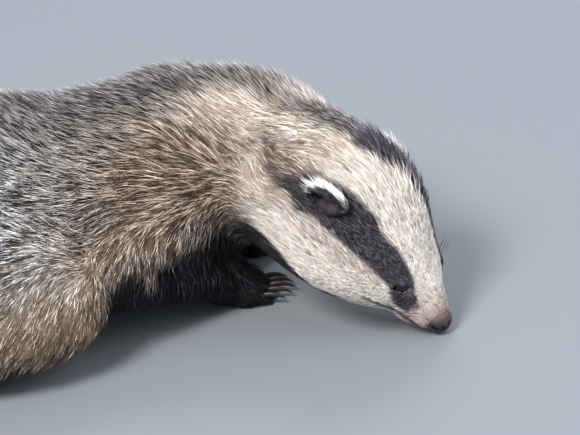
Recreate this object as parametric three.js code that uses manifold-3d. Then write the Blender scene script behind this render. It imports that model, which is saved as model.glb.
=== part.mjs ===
// A life-size European badger (Meles meles), crouched with its head bent down and to its right.
// Millimetres, +Z up, +X towards the badger's front, +Y to its left. All four feet stand on z = 0.
// The animal is one smooth field of tapering limbs. It is meshed, cut into its named parts with
// thin gaps, and its eyes, ears, nose and claws are pieces of their own.
import * as THREE from "three";
import { mergeVertices } from "three/addons/utils/BufferGeometryUtils.js";
import Module from "manifold-3d";

const wasm = await Module();
wasm.setup();

// Driving dimensions
const GAP = 0.3; // clearance between two neighbouring parts
const LATTICE = 0.01; // steps that every corner of a finished part sits on
const NECK_BLEND = 30; // how widely the neck melts into the head
const LIMB_BLEND = 26; // how widely a foreleg melts into the body
const THIGH_BLEND = 75;
const TAIL_BLEND = 16;
const TOE_BLEND = 5;

// Head: its nose tip, and how the neck bends it
const NOSE_TIP = [135.1, -161.8, 8.6];
const HEAD_YAW = -47.6;
const HEAD_PITCH = -57.7;
const HEAD_ROLL = -10.3;
const HEAD_DROP = 30; // how far the middle of the head lies below its nose tip
const EYE_RADIUS = 5.4;
const EYE_PLACE = [-41.5, 21.2, -3.4]; // ahead of, beside and above the nose tip
const EYE_GAZE = [0.42, 0.84, 0.34];
const EYE_UP = [-0.73, 0, 0.68]; // square to the slit between the lids
const LID_THICKNESS = 1.4;
const LID_OPENING = [8, 6.2, 2.6]; // depth, half length and half height of the slit
const EAR_PLACES = { right: [-117, 44.5, 1], left: [-114.5, 45.5, -7] };
const EAR_OUT = [-0.41, -0.16, 0.9]; // the way the ear stands out from the head
const EAR_OPENING = [0.2, 0.96, 0.15]; // the way its cup faces
const EAR_SIZE = [8.5, 15, 9]; // half depth, half width and height of the cup
const EAR_WALL = 2.8;
const EAR_PIT = [4, 6, -4]; // the hollow behind the cup, and how wide it is
const EAR_HOLE = 6;
const NOSE_PLACE = [-7, 0, -8];
const NOSE_SIZE = [9.3, 11.5, 9.6];
const NOSTRIL = { place: [1, 4.8, -6], size: [4.5, 2.2, 2.8] };
const NOSTRIL_SLIT = { place: [-2.5, 8.6, -8.2], size: [4.2, 3.6, 1.2] };
const MOUTH_FRONT = [-6, 0, -17.5];
const MOUTH_CORNER = [-44, 0, -25];
const MOUTH_GAP = 1.1;
const MOUTH_DEPTH = 3.2;

// Coat: long on the body, neck and tail, in flat locks over a core
const COAT_DEPTH = 17; // from the skin to the tips
const CORE_SHARE = 0.5; // how far the core reaches from the tips to the skin
const LOCK_LENGTH = 98;
const LOCK_HALF_WIDTH = 28;
const LOCK_THICKNESS = 6;
const LOCK_SUNK = 7; // how deep a lock's root lies in the core
const LOCK_SPREAD = 61; // distance between neighbouring roots
const LOCK_SHAPE = [
  { along: 0, wide: 0.6, thick: 1 },
  { along: 0.34, wide: 1, thick: 1 },
  { along: 0.72, wide: 0.72, thick: 0.65 },
];

// Feet
const FORE_TOE_RADIUS = 6.2;
const HIND_TOE_RADIUS = 6;
const FORE_CLAW_LENGTH = 15;
const HIND_CLAW_LENGTH = 14;
const TOE_COUNT = 5;

// Vector arithmetic on plain triples
const add = (a, b) => [a[0] + b[0], a[1] + b[1], a[2] + b[2]];
const sub = (a, b) => [a[0] - b[0], a[1] - b[1], a[2] - b[2]];
const scale = (a, k) => [a[0] * k, a[1] * k, a[2] * k];
const dot = (a, b) => a[0] * b[0] + a[1] * b[1] + a[2] * b[2];
const cross = (a, b) => [
  a[1] * b[2] - a[2] * b[1],
  a[2] * b[0] - a[0] * b[2],
  a[0] * b[1] - a[1] * b[0],
];
const length = (a) => Math.hypot(a[0], a[1], a[2]);
const unit = (a) => scale(a, 1 / (length(a) || 1));
const mix = (a, b, t) => a + (b - a) * t;
const radians = (degrees) => (degrees * Math.PI) / 180;

// A frame turned by yaw, pitch and roll: forward, left and up, with its origin.
function frameAt(origin, yaw, pitch, roll) {
  const [cy, sy] = [Math.cos(radians(yaw)), Math.sin(radians(yaw))];
  const [cp, sp] = [Math.cos(radians(pitch)), Math.sin(radians(pitch))];
  const [cr, sr] = [Math.cos(radians(roll)), Math.sin(radians(roll))];
  const forward = [cy * cp, sy * cp, sp];
  const level = [-sy, cy, 0];
  const above = cross(forward, level);
  const left = add(scale(level, cr), scale(above, sr));
  return { origin, forward, left, up: cross(forward, left) };
}

// A point given along a frame's forward, left and up, in the badger's own frame
function placed(frame, [f, l, u]) {
  const { origin, forward, left, up } = frame;
  return add(origin, add(scale(forward, f), add(scale(left, l), scale(up, u))));
}

// A frame at a point of another one, facing one way there, with its up as near another as can be
function facing(parent, at, forward, up) {
  const base = { ...parent, origin: [0, 0, 0] };
  const ahead = unit(placed(base, forward));
  const left = unit(cross(placed(base, up), ahead));
  return { origin: placed(parent, at), forward: ahead, left, up: cross(ahead, left) };
}

// The smooth curve through rows of numbers, each row being a place and its half sizes.
function curveThrough(rows, steps) {
  const out = [];
  for (let i = 0; i < rows.length - 1; i++) {
    const last = rows.length - 1;
    const [a, b, c, d] = [rows[Math.max(i - 1, 0)], rows[i], rows[i + 1], rows[Math.min(i + 2, last)]];
    for (let k = 0; k < steps; k++) {
      const t = k / steps;
      out.push(
        b.map((_, j) => {
          const rise = (c[j] - a[j]) / 2;
          const fall = (d[j] - b[j]) / 2;
          const t2 = t * t;
          const t3 = t2 * t;
          const level = (2 * t3 - 3 * t2 + 1) * b[j] + (3 * t2 - 2 * t3) * c[j];
          return level + (t3 - 2 * t2 + t) * rise + (t3 - t2) * fall;
        }),
      );
    }
  }
  out.push(rows[rows.length - 1].slice());
  return out;
}

const RIM = 5; // the field's value on a grid's rim, which closes the surface there
const SETTLE = 3; // how far a point of the mesh may be moved onto the surface
const REACH = 45; // beyond this from a limb's box, the limb is too far away to matter
const FAR = 1e3;

// A tapering limb: each row is a centre, a half width and a half height, and a curve joins them.
class Limb {
  constructor(rows, { up = [0, 0, 1], steps = 4 } = {}) {
    this.stations = curveThrough(rows, steps).map((r) => ({ at: r.slice(0, 3), wide: r[3], high: r[4] }));
    this.segments = [];
    for (let i = 0; i < this.stations.length - 1; i++) {
      const [a, b] = [this.stations[i], this.stations[i + 1]];
      const along = sub(b.at, a.at);
      const tangent = unit(along);
      const rise = unit(sub(up, scale(tangent, dot(up, tangent))));
      const side = cross(rise, tangent);
      this.segments.push({ a, b, along, square: dot(along, along), tangent, rise, side });
    }
    const margin = REACH + Math.max(...this.stations.map((s) => Math.max(s.wide, s.high)));
    this.low = [0, 1, 2].map((k) => Math.min(...this.stations.map((s) => s.at[k])) - margin);
    this.top = [0, 1, 2].map((k) => Math.max(...this.stations.map((s) => s.at[k])) + margin);
  }

  distance(p) {
    if (p.some((v, k) => v < this.low[k] || v > this.top[k])) return FAR;
    let best = FAR;
    for (const s of this.segments) {
      const q = sub(p, s.a.at);
      const t = Math.min(1, Math.max(0, dot(q, s.along) / s.square));
      const away = sub(q, scale(s.along, t));
      const wide = mix(s.a.wide, s.b.wide, t);
      const high = mix(s.a.high, s.b.high, t);
      const end = Math.min(wide, high);
      const [across, above] = [dot(away, s.side) / wide, dot(away, s.rise) / high];
      const ratio = Math.hypot(across, above, dot(away, s.tangent) / end);
      const size = length(away);
      const d = ratio > 1e-6 ? size * (1 - 1 / ratio) : -end;
      if (d < best) best = d;
    }
    return best;
  }
}

// The nearer of two distances, rounded where they meet.
function blend(a, b, k) {
  const h = Math.max(k - Math.abs(a - b), 0) / k;
  return Math.min(a, b) - (h * h * k) / 4;
}

// Body: each row is [x, y, top, bottom, half width] of the coat's outline, from rump to neck
const BODY_ROWS = [
  [-398, -12, 118, 88, 26],
  [-382, -11, 134, 66, 60],
  [-348, -6, 155, 42, 94],
  [-302, 2, 168, 24, 112],
  [-257, 6, 171, 14, 119],
  [-215, 8, 167, 10, 120],
  [-180, 9, 161, 9, 118],
  [-147, 8, 154, 10, 115],
  [-119, 6, 151, 11, 112],
  [-90, 4, 154, 14, 107],
  [-54, 0, 160, 22, 99],
  [-19, -10, 165, 30, 87],
  [16, -26, 164, 34, 75],
  [42, -56, 145, 38, 61],
  [61, -82, 130, 43, 52],
  [74, -101, 123, 50, 47],
].map(([x, y, top, bottom, wide]) => [x, y, (top + bottom) / 2, wide, (top - bottom) / 2]);
const body = new Limb(BODY_ROWS);

// Head: each row is [behind the nose tip, below it, half width, half height]
const head = frameAt(NOSE_TIP, HEAD_YAW, HEAD_PITCH, HEAD_ROLL);
const HEAD_ROWS = [
  [17, 11.5, 17.5, 15.5],
  [23, 12.5, 19, 19.5],
  [30, 15, 21.5, 24],
  [40, 15, 26.5, 26.5],
  [50, 16.5, 33, 30.5],
  [62, 20.5, 43, 37.5],
  [76, 25, 51, 46],
  [92, 31, 55.5, 53.5],
  [110, 37, 55, 56],
  [128, 41, 53, 51.5],
];
const skull = new Limb(
  HEAD_ROWS.map(([behind, below, wide, high]) => [...placed(head, [-behind, 0, -below]), wide, high]),
  { up: head.up },
);

// Legs and tail: each row is [x, y, z, half width, half height]
const LEG_ROWS = {
  foreleg_right: [
    [-30, -58, 112, 36, 34],
    [-52, -80, 88, 34, 30],
    [-78, -88, 62, 26, 24],
    [-50, -76, 45, 22, 20],
    [-22, -60, 26, 17, 16],
    [-6, -52, 16, 17, 12],
  ],
  foreleg_left: [
    [-30, 44, 112, 36, 34],
    [-50, 68, 88, 34, 30],
    [-72, 78, 60, 26, 24],
    [-42, 58, 42, 22, 20],
    [-8, 36, 25, 17, 16],
    [8, 28, 16, 17, 12],
  ],
  hindleg_right: [
    [-285, -56, 100, 58, 54],
    [-220, -104, 66, 54, 62],
    [-146, -127, 57, 34, 40],
    [-190, -121, 48, 26, 26],
    [-238, -118, 34, 18, 18],
    [-248, -118, 18, 17, 14],
  ],
  hindleg_left: [
    [-292, 64, 100, 58, 54],
    [-252, 102, 70, 52, 62],
    [-188, 127, 57, 33, 40],
    [-224, 119, 50, 26, 26],
    [-268, 113, 34, 18, 18],
    [-278, 112, 18, 17, 14],
  ],
};
const TAIL_ROWS = [
  [-372, -10, 122, 26, 22],
  [-400, -14, 114, 24, 20],
  [-440, -20, 92, 25, 21],
  [-482, -28, 64, 22, 19],
  [-516, -34, 42, 14, 12],
  [-538, -38, 30, 5, 5],
];
const FORWARD = { up: [1, 0, 0.2] };
const legs = Object.fromEntries(
  Object.entries(LEG_ROWS).map(([name, rows]) => [name, new Limb(rows, FORWARD)]),
);
const tail = new Limb(TAIL_ROWS);

// Feet: where each sole stands, which way its toes point, and its sizes
const FOREPAW = { half: 21, back: 22, front: 12, toe: FORE_TOE_RADIUS, claw: FORE_CLAW_LENGTH };
const HINDPAW = { half: 20, back: 36, front: 18, toe: HIND_TOE_RADIUS, claw: HIND_CLAW_LENGTH };
const FEET = {
  forepaw_right: { ...FOREPAW, at: [1, -51, 0], yaw: -6 },
  forepaw_left: { ...FOREPAW, at: [12, 27, 0], yaw: 4 },
  hindpaw_right: { ...HINDPAW, at: [-216, -118, 0], yaw: -8 },
  hindpaw_left: { ...HINDPAW, at: [-246, 112, 0], yaw: 8 },
};

// The toes of a foot, in its own frame: each is where its root, tip and claw are.
function toesOf({ half, front, toe }) {
  return Array.from({ length: TOE_COUNT }, (_, i) => {
    const across = (i - (TOE_COUNT - 1) / 2) / ((TOE_COUNT - 1) / 2); // -1 at the right, 1 at the left
    const y = across * (half - toe);
    const x = front - 4.5 * across * across;
    const root = [-4, y * 0.85, toe * 1.35];
    return { across, root, knuckle: [x - 4, y, toe * 1.5], tip: [x + 4, y * 1.08, toe * 0.95] };
  });
}

const feet = Object.fromEntries(
  Object.entries(FEET).map(([name, foot]) => {
    const frame = frameAt(foot.at, foot.yaw, 0, 0);
    const r = foot.toe;
    const sole = new Limb(
      [
        [-foot.back, 0, 11, foot.half * 0.62, 12],
        [-foot.back * 0.35, 0, 11, foot.half * 0.82, 13],
        [foot.front - 12, 0, 9, foot.half * 0.92, 11],
      ].map(([x, y, z, w, h]) => [...placed(frame, [x, y, z]), w, h]),
    );
    const toes = toesOf(foot).map(
      ({ root, knuckle, tip }) =>
        new Limb([
          [...placed(frame, root), r, r],
          [...placed(frame, knuckle), r, r],
          [...placed(frame, tip), r * 0.9, r * 0.85],
        ]),
    );
    const claws = toesOf(foot).map(({ across, tip }) => {
      const way = frameAt([0, 0, 0], foot.yaw + across * 7, 0, 0);
      const origin = placed(frame, add(tip, [r * 0.55, 0, r * 0.42]));
      return { frame: { ...way, origin }, size: foot.claw * (1 - 0.14 * Math.abs(across)) };
    });
    return [name, { frame, sole, toes, claws }];
  }),
);

function footDistance({ sole, toes }, p) {
  return toes.reduce((d, toe) => blend(d, toe.distance(p), TOE_BLEND), sole.distance(p));
}

// The whole coat's outline: negative inside, positive outside, in millimetres near the surface
function outline(p) {
  let d = blend(body.distance(p), skull.distance(p), NECK_BLEND);
  for (const [name, leg] of Object.entries(legs)) {
    d = blend(d, leg.distance(p), name.startsWith("hind") ? THIGH_BLEND : LIMB_BLEND);
  }
  for (const foot of Object.values(feet)) d = blend(d, footDistance(foot, p), TOE_BLEND * 2);
  return blend(d, tail.distance(p), TAIL_BLEND);
}

// How long the coat is at a point: short on the face and lower legs
const lowerLegs = Object.values(LEG_ROWS).map((rows) => new Limb(rows.slice(2), FORWARD));
const eased = (v, low, high) => {
  const t = Math.min(1, Math.max(0, (v - low) / (high - low)));
  return t * t * (3 - 2 * t);
};
function coatDepth(p) {
  const legward = Math.min(...lowerLegs.map((leg) => leg.distance(p)));
  return COAT_DEPTH * eased(skull.distance(p), -16, 30) * eased(legward, 2, 30);
}

// The core under the long coat
const core = (p) => outline(p) + coatDepth(p) * CORE_SHARE;

const TAIL_LIE = [-0.8, -0.1, -0.6];

// The way the coat lies at a point: back along the body and down its sides
function coatLie(p, normal) {
  const onNeck = eased(p[0], -90, 40);
  const down = mix(0.35 + 0.5 * eased(Math.abs(normal[1]), 0.3, 1), -0.35, onNeck);
  const wish = p[0] < TAIL_ROWS[1][0] ? TAIL_LIE : [-1, 0.55 * onNeck, -down];
  return unit(sub(wish, scale(normal, dot(wish, normal))));
}

// Seeded draws, the same on every run
let seed = 20251;
function draw(low, high) {
  seed = (seed * 1664525 + 1013904223) % 4294967296;
  return low + ((high - low) * seed) / 4294967296;
}

// A flat, tapering lock: it starts sunk in the core and bends along the coat's lie out to the tips
function lockFrom(start, size) {
  const stretch = size * LOCK_LENGTH;
  const steps = 12;
  const rings = [];
  let p = start;
  let turn = draw(-0.22, 0.22);
  for (let i = 0; i <= steps; i++) {
    const t = i / steps;
    const normal = slope(outline, p);
    const level = mix(-coatDepth(p) * CORE_SHARE - LOCK_SUNK, -1, eased(t, 0, 0.9));
    p = sub(p, scale(normal, outline(p) - level));
    const lie = coatLie(p, normal);
    const side = cross(normal, lie);
    const way = unit(add(lie, scale(side, turn)));
    rings.push({ p, normal, side: cross(normal, way), t });
    if (i < steps) p = add(p, scale(way, stretch / steps));
    turn *= 0.9;
  }
  const points = [];
  for (const { along, wide, thick } of LOCK_SHAPE) {
    const ring = rings[Math.round(along * steps)];
    const half = scale(ring.side, wide * size * LOCK_HALF_WIDTH);
    const ridge = scale(ring.normal, thick * LOCK_THICKNESS);
    const foot = scale(ring.normal, -0.35 * thick * LOCK_THICKNESS);
    points.push(add(add(ring.p, half), foot), add(ring.p, scale(ridge, 0.5)), add(sub(ring.p, half), foot));
  }
  points.push(rings[steps].p);
  const faces = [0, 1, 2];
  const last = LOCK_SHAPE.length - 1;
  for (let ring = 0; ring < last; ring++)
    for (const [a, b] of [[0, 1], [1, 2], [2, 0]]) {
      const [m, n, o, q] = [ring * 3 + a, ring * 3 + b, ring * 3 + 3 + a, ring * 3 + 3 + b];
      faces.push(m, o, q, m, q, n);
    }
  for (const [a, b] of [[0, 1], [1, 2], [2, 0]]) faces.push(last * 3 + a, last * 3 + 3, last * 3 + b);
  const solid = solidOf(points.flat(), faces);
  return solid.volume() > 0 ? solid : solidOf(points.flat(), faces.toReversed());
}

// Roots of locks: rings round a limb, each a little apart from the next and staggered
function locksRound(limb, spread, size, keeps) {
  const locks = [];
  let travelled = 0;
  let row = 0;
  limb.segments.forEach(({ a, b, side, rise, along }) => {
    travelled += length(along);
    if (travelled < spread) return;
    travelled -= spread;
    row++;
    const girth = Math.PI * (a.wide + a.high);
    const count = Math.max(3, Math.round(girth / spread));
    for (let i = 0; i < count; i++) {
      const angle = ((i + (row % 2) / 2 + draw(-0.18, 0.18)) / count) * 2 * Math.PI;
      const out = add(scale(side, a.wide * Math.cos(angle)), scale(rise, a.high * Math.sin(angle)));
      let p = add(a.at, out);
      for (let k = 0; k < 3; k++) p = sub(p, scale(slope(outline, p), outline(p)));
      const normal = slope(outline, p);
      if (keeps(p, normal)) locks.push(lockFrom(p, size * draw(0.88, 1.12)));
    }
  });
  return locks;
}

// Corners of a grid's cell, its edges, and whether a pattern of inside corners pinches the surface
const CORNERS = Array.from({ length: 8 }, (_, c) => [c & 1, (c >> 1) & 1, c >> 2]);
const EDGES = CORNERS.flatMap((_, c) => [1, 2, 4].filter((bit) => !(c & bit)).map((bit) => [c, c | bit]));
const PINCHED = Array.from({ length: 256 }, (_, pattern) => pieces(pattern) > 1 || pieces(255 - pattern) > 1);

// How many separate pieces a pattern of corners makes
function pieces(pattern) {
  const label = CORNERS.map((_, c) => c);
  for (let round = 0; round < 8; round++)
    for (const [a, b] of EDGES)
      if ((pattern >> a) & (pattern >> b) & 1) label[a] = label[b] = Math.min(label[a], label[b]);
  return new Set(label.filter((_, c) => (pattern >> c) & 1)).size;
}

// A grid of equal steps in a box
function boxGrid([low, top], step) {
  const counts = low.map((v, k) => Math.ceil((top[k] - v) / step) + 1);
  return { counts, at: (node) => node.map((v, k) => low[k] + v * step) };
}

// A grid that starts ahead of the nose and whose steps grow towards the back of the head
function headGrid(frame, { ahead, steps, growth, half }) {
  return {
    counts: [steps, 2 * half + 1, 2 * half + 1],
    at: ([i, j, k]) => {
      const grown = growth ** i;
      const behind = ahead - (HEAD_STEP * (grown - 1)) / (growth - 1);
      const across = HEAD_STEP * grown;
      const drop = HEAD_DROP * (1 - Math.exp(-i / 6));
      return placed(frame, [behind, (half - j) * across, (k - half) * across - drop]);
    },
  };
}

// The closed surface where a field is zero, on a grid
function surfaceOf(field, { counts: n, at }) {
  const index = (i, j, k) => (k * n[1] + j) * n[0] + i;
  const values = new Float32Array(n[0] * n[1] * n[2]);
  for (let k = 0; k < n[2]; k++)
    for (let j = 0; j < n[1]; j++)
      for (let i = 0; i < n[0]; i++) {
        const rim = !i || !j || !k || i === n[0] - 1 || j === n[1] - 1 || k === n[2] - 1;
        values[index(i, j, k)] = rim ? RIM : field(at([i, j, k]));
      }
  const offsets = CORNERS.map(([a, b, c]) => index(a, b, c));
  const patternAt = (cell) => offsets.reduce((bits, o, c) => bits | ((values[cell + o] < 0 ? 1 : 0) << c), 0);
  const shell = [];
  for (let k = 0; k < n[2] - 1; k++)
    for (let j = 0; j < n[1] - 1; j++)
      for (let i = 0; i < n[0] - 1; i++) shell.push([i, j, k]);

  // Where two sheets of the surface would pinch, the nearest outside corner is filled.
  let pinches = true;
  while (pinches) {
    pinches = false;
    for (const [i, j, k] of shell) {
      const cell = index(i, j, k);
      if (!PINCHED[patternAt(cell)]) continue;
      const open = offsets.map((o) => cell + o).filter((o) => values[o] >= 0);
      values[open.reduce((a, b) => (values[b] < values[a] ? b : a))] = -0.01;
      pinches = true;
    }
  }

  const cells = new Map();
  const points = [];
  for (const [i, j, k] of shell) {
    const cell = index(i, j, k);
    const v = offsets.map((o) => values[cell + o]);
    const crossings = EDGES.filter(([a, b]) => v[a] < 0 !== v[b] < 0).map(([a, b]) => {
      const t = v[a] / (v[a] - v[b]);
      return CORNERS[a].map((c, m) => mix(c, CORNERS[b][m], t));
    });
    if (!crossings.length) continue;
    const [x, y, z] = scale(crossings.reduce(add), 1 / crossings.length);
    cells.set(cell, points.length);
    points.push(settled(field, at([i + x, j + y, k + z])));
  }

  const faces = [];
  const quad = (a, b, c, d, flip) => faces.push(...(flip ? [a, c, b, a, d, c] : [a, b, c, a, c, d]));
  for (const [i, j, k] of shell) {
    const solid = values[index(i, j, k)] < 0;
    const cell = (a, b, c) => cells.get(index(i - a, j - b, k - c));
    if (j && k && solid !== values[index(i + 1, j, k)] < 0)
      quad(cell(0, 1, 1), cell(0, 0, 1), cell(0, 0, 0), cell(0, 1, 0), !solid);
    if (i && k && solid !== values[index(i, j + 1, k)] < 0)
      quad(cell(1, 0, 1), cell(1, 0, 0), cell(0, 0, 0), cell(0, 0, 1), !solid);
    if (i && j && solid !== values[index(i, j, k + 1)] < 0)
      quad(cell(1, 1, 0), cell(0, 1, 0), cell(0, 0, 0), cell(1, 0, 0), !solid);
  }
  return solidOf(points.flat(), faces);
}

// The direction in which a field grows fastest
function slope(field, p, step = 0.5) {
  return unit([0, 1, 2].map((k) => {
    const [more, less] = [p.slice(), p.slice()];
    more[k] += step;
    less[k] -= step;
    return field(more) - field(less);
  }));
}

// A point moved onto the surface where the field is zero, if that is near
function settled(field, p) {
  const d = field(p);
  if (Math.abs(d) > SETTLE) return p;
  return sub(p, scale(slope(field, p), d));
}

function solidOf(positions, faces) {
  const vertProperties = new Float32Array(positions);
  const triVerts = new Uint32Array(faces);
  return new wasm.Manifold(new wasm.Mesh({ numProp: 3, vertProperties, triVerts }));
}

// A three.js geometry as a solid, placed by a matrix
function solidFrom(geometry, matrix = new THREE.Matrix4()) {
  const bare = new THREE.BufferGeometry().setAttribute("position", geometry.getAttribute("position").clone());
  if (geometry.index) bare.setIndex(geometry.index);
  const merged = mergeVertices(bare.applyMatrix4(matrix), 1e-4);
  return solidOf(merged.getAttribute("position").array, merged.index.array);
}

function matrixOf(frame, at = [0, 0, 0], sizes = [1, 1, 1]) {
  const axes = [frame.forward, frame.left, frame.up].map((axis) => new THREE.Vector3(...axis));
  return new THREE.Matrix4()
    .makeTranslation(...placed(frame, at))
    .multiply(new THREE.Matrix4().makeBasis(...axes))
    .multiply(new THREE.Matrix4().makeScale(...sizes));
}

function ellipsoid(frame, at, radii, around = 20) {
  return solidFrom(new THREE.SphereGeometry(1, around, Math.round(around * 0.6)), matrixOf(frame, at, radii));
}

// A box in a frame, from its lowest corner to its highest, grown on every side
function block(frame, low, top, grow = 0) {
  const size = sub(top, low).map((v) => v + 2 * grow);
  return solidFrom(new THREE.BoxGeometry(...size), matrixOf(frame, scale(add(low, top), 0.5)));
}

// A solid less another one, which it may lie against but keeps clear of by the gap
function clearOf(solid, other, ways) {
  return ways.reduce((rest, way) => rest.subtract(other.translate(scale(unit(way), GAP * 1.3))), solid);
}

// A curved, tapering claw: rings of few sides along an arc that bends down, ending in a point
const CLAW_SIDES = 5;
const CLAW_RINGS = 3;
const CLAW_ROOT = 4.2; // how far a claw reaches back into its toe
function clawOf(frame, size) {
  const points = [];
  const step = (size + CLAW_ROOT) / CLAW_RINGS;
  let [x, z] = [-CLAW_ROOT, 0];
  for (let ring = 0; ring <= CLAW_RINGS; ring++) {
    const t = ring / CLAW_RINGS;
    const bend = radians(mix(12, -46, t));
    const full = 1 - t ** 2.2;
    if (ring === CLAW_RINGS) points.push([x, 0, z]);
    else
      for (let side = 0; side < CLAW_SIDES; side++) {
        const turn = (side / CLAW_SIDES) * 2 * Math.PI;
        const [wide, high] = [size * 0.1 * full * Math.cos(turn), size * 0.155 * full * Math.sin(turn)];
        points.push([x - high * Math.sin(bend), wide, z + high * Math.cos(bend)]);
      }
    x += step * Math.cos(bend);
    z += step * Math.sin(bend);
  }
  const faces = [];
  for (let side = 1; side < CLAW_SIDES - 1; side++) faces.push(0, side + 1, side);
  for (let ring = 0; ring < CLAW_RINGS; ring++)
    for (let side = 0; side < CLAW_SIDES; side++) {
      const [a, b] = [ring * CLAW_SIDES + side, ring * CLAW_SIDES + ((side + 1) % CLAW_SIDES)];
      if (ring === CLAW_RINGS - 1) faces.push(a, b, CLAW_RINGS * CLAW_SIDES);
      else faces.push(a, b, b + CLAW_SIDES, a, b + CLAW_SIDES, a + CLAW_SIDES);
    }
  return solidOf(points.flatMap((p) => placed(frame, p)), faces);
}

// A solid with its corners on a fine lattice. Corners of two sheets that meet at one place are
// drawn back a little, each along its own sheet, so that no two sheets share an edge.
function settledOn(solid, lattice) {
  const places = new Map();
  const corners = [];
  const numberOf = (p) => {
    const steps = p.map((v) => Math.round(v / lattice));
    const key = steps.join();
    if (!places.has(key)) {
      places.set(key, corners.length);
      corners.push(steps.map((step) => step * lattice));
    }
    return places.get(key);
  };
  const cornersOf = ({ vertProperties, numProp, numVert }) =>
    Array.from({ length: numVert }, (_, i) => [...vertProperties.subarray(i * numProp, i * numProp + 3)]);
  const facesOf = ({ triVerts }) =>
    Array.from({ length: triVerts.length / 3 }, (_, i) => [...triVerts.subarray(i * 3, i * 3 + 3)]);

  const rough = solid.getMesh();
  const numbers = cornersOf(rough).map(numberOf);
  const faces = facesOf(rough)
    .map((face) => face.map((i) => numbers[i]))
    .filter((face) => new Set(face).size === 3);
  const welded = solidOf(corners.flat(), faces.flat()).getMesh();

  const points = cornersOf(welded);
  const normals = points.map(() => [0, 0, 0]);
  for (const [a, b, c] of facesOf(welded)) {
    const normal = cross(sub(points[b], points[a]), sub(points[c], points[a]));
    for (const i of [a, b, c]) normals[i] = add(normals[i], normal);
  }
  const uses = new Map();
  for (const p of points) uses.set(numberOf(p), (uses.get(numberOf(p)) ?? 0) + 1);
  const apart = points.map((p, i) => {
    const back = uses.get(numberOf(p)) > 1 ? lattice * (4 + 2 * (i % 5)) : 0;
    return sub(p, scale(unit(normals[i]), back));
  });
  return solidOf(apart.flat(), facesOf(welded).flat());
}

// The largest closed body of a solid
function largest(solid) {
  return solid.decompose().reduce((a, b) => (b.volume() > a.volume() ? b : a));
}

const WORLD = frameAt([0, 0, 0], 0, 0, 0);
const FLOOR = block(WORLD, [-900, -500, -300], [500, 500, 0]);

// A leg's box hangs below and outside a plane that leans away from the body.
function legCut(at, lean, back, front) {
  const frame = frameAt(at, 0, 0, lean);
  return { frame, low: [back, -150, -150], top: [front, 150, 0] };
}

// Cuts between the named parts: a box in a frame, for what lies inside it
const FOREPAW_BOX = { low: [0, -40, -40], top: [56, 40, 24] };
const HINDPAW_BOX = { low: [-48, -26, -40], top: [33, 26, 0] };
const headCutFrame = frameAt(placed(head, [-140, 0, -10]), HEAD_YAW, -44, HEAD_ROLL);
const CUTS = {
  head: { frame: headCutFrame, low: [0, -120, -108], top: [220, 120, 120] },
  neck: { frame: frameAt([2, -17, 100], -30, 0, 0), low: [0, -130, -75], top: [160, 130, 120] },
  foreleg_right: legCut([-52, -72, 49], -37, -58, 75),
  foreleg_left: legCut([-50, 62, 47], 37, -70, 80),
  hindleg_right: legCut([-215, -90, 42], -32, -80, 104),
  hindleg_left: legCut([-240, 92, 40], 32, -75, 85),
  tail: { frame: frameAt([-420, -17, 102], 10, 36, 0), low: [-200, -50, -50], top: [0, 50, 50] },
  forepaw_right: { frame: frameAt([-24, -61, 20], -20, -34, 0), ...FOREPAW_BOX },
  forepaw_left: { frame: frameAt([-9, 37, 20], -18, -34, 0), ...FOREPAW_BOX },
  hindpaw_right: { frame: frameAt([-216, -118, 21], -8, 0, 0), ...HINDPAW_BOX },
  hindpaw_left: { frame: frameAt([-246, 112, 21], 8, 0, 0), ...HINDPAW_BOX },
};
const PAWS = Object.keys(FEET);
const PAW_OF = {
  foreleg_right: "forepaw_right",
  foreleg_left: "forepaw_left",
  hindleg_right: "hindpaw_right",
  hindleg_left: "hindpaw_left",
};

const inside = (solid, { frame, low, top }) => solid.intersect(block(frame, low, top));
const outside = (solid, { frame, low, top }) => solid.subtract(block(frame, low, top, GAP));

// What a part's own cut holds, less all that the cuts before it have taken
const ORDER = [...PAWS, "head", ...Object.keys(LEG_ROWS), "tail", "neck"];
function share(solid, name) {
  const earlier = ORDER.slice(0, ORDER.indexOf(name)).map((other) => CUTS[other]);
  return earlier.reduce(outside, inside(solid, CUTS[name]));
}

// Colours, read from the photograph
const COATS = {
  grizzled: [0x8b7b6c, 0.95],
  black: [0x1b191b, 0.8],
  face: [0xd9d0c6, 0.95],
  ear: [0x2a2628, 0.9],
  tail: [0xb5a48e, 0.95],
  nose: [0x4a3f42, 0.45],
  claw: [0x6b5648, 0.5],
  eye: [0x0c0a0b, 0.08],
};

const badger = new THREE.Group();

function addPart(name, solid, coat) {
  const mesh = largest(settledOn(largest(solid), LATTICE)).getMesh();
  const positions = new Float32Array(mesh.numVert * 3);
  for (let i = 0; i < mesh.numVert; i++)
    positions.set(mesh.vertProperties.subarray(i * mesh.numProp, i * mesh.numProp + 3), i * 3);
  const geometry = new THREE.BufferGeometry()
    .setAttribute("position", new THREE.BufferAttribute(positions, 3))
    .setIndex(new THREE.BufferAttribute(mesh.triVerts, 1));
  geometry.computeVertexNormals();
  const [color, roughness] = COATS[coat];
  const piece = new THREE.Mesh(geometry, new THREE.MeshStandardMaterial({ color, roughness, metalness: 0 }));
  piece.name = name;
  badger.add(piece);
}

// Bounds of the surfaces to mesh, and the spacing of their grids
const BODY_BOX = [[-560, -190, -20], [160, 190, 230]];
const BODY_STEP = 24;
const LEG_STEP = 16;
const PAW_STEP = 5.8;
const HEAD_STEP = 4.8; // at the nose
const HEAD_GROWTH = 1.04;

function boxAround(limb, margin) {
  return [limb.low.map((v) => v + REACH - margin), limb.top.map((v) => v - REACH + margin)];
}
const held = ({ frame, low, top }, p) => {
  const q = sub(p, frame.origin);
  const at = [dot(q, frame.forward), dot(q, frame.left), dot(q, frame.up)];
  return at.every((v, k) => v > low[k] && v < top[k]);
};
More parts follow.
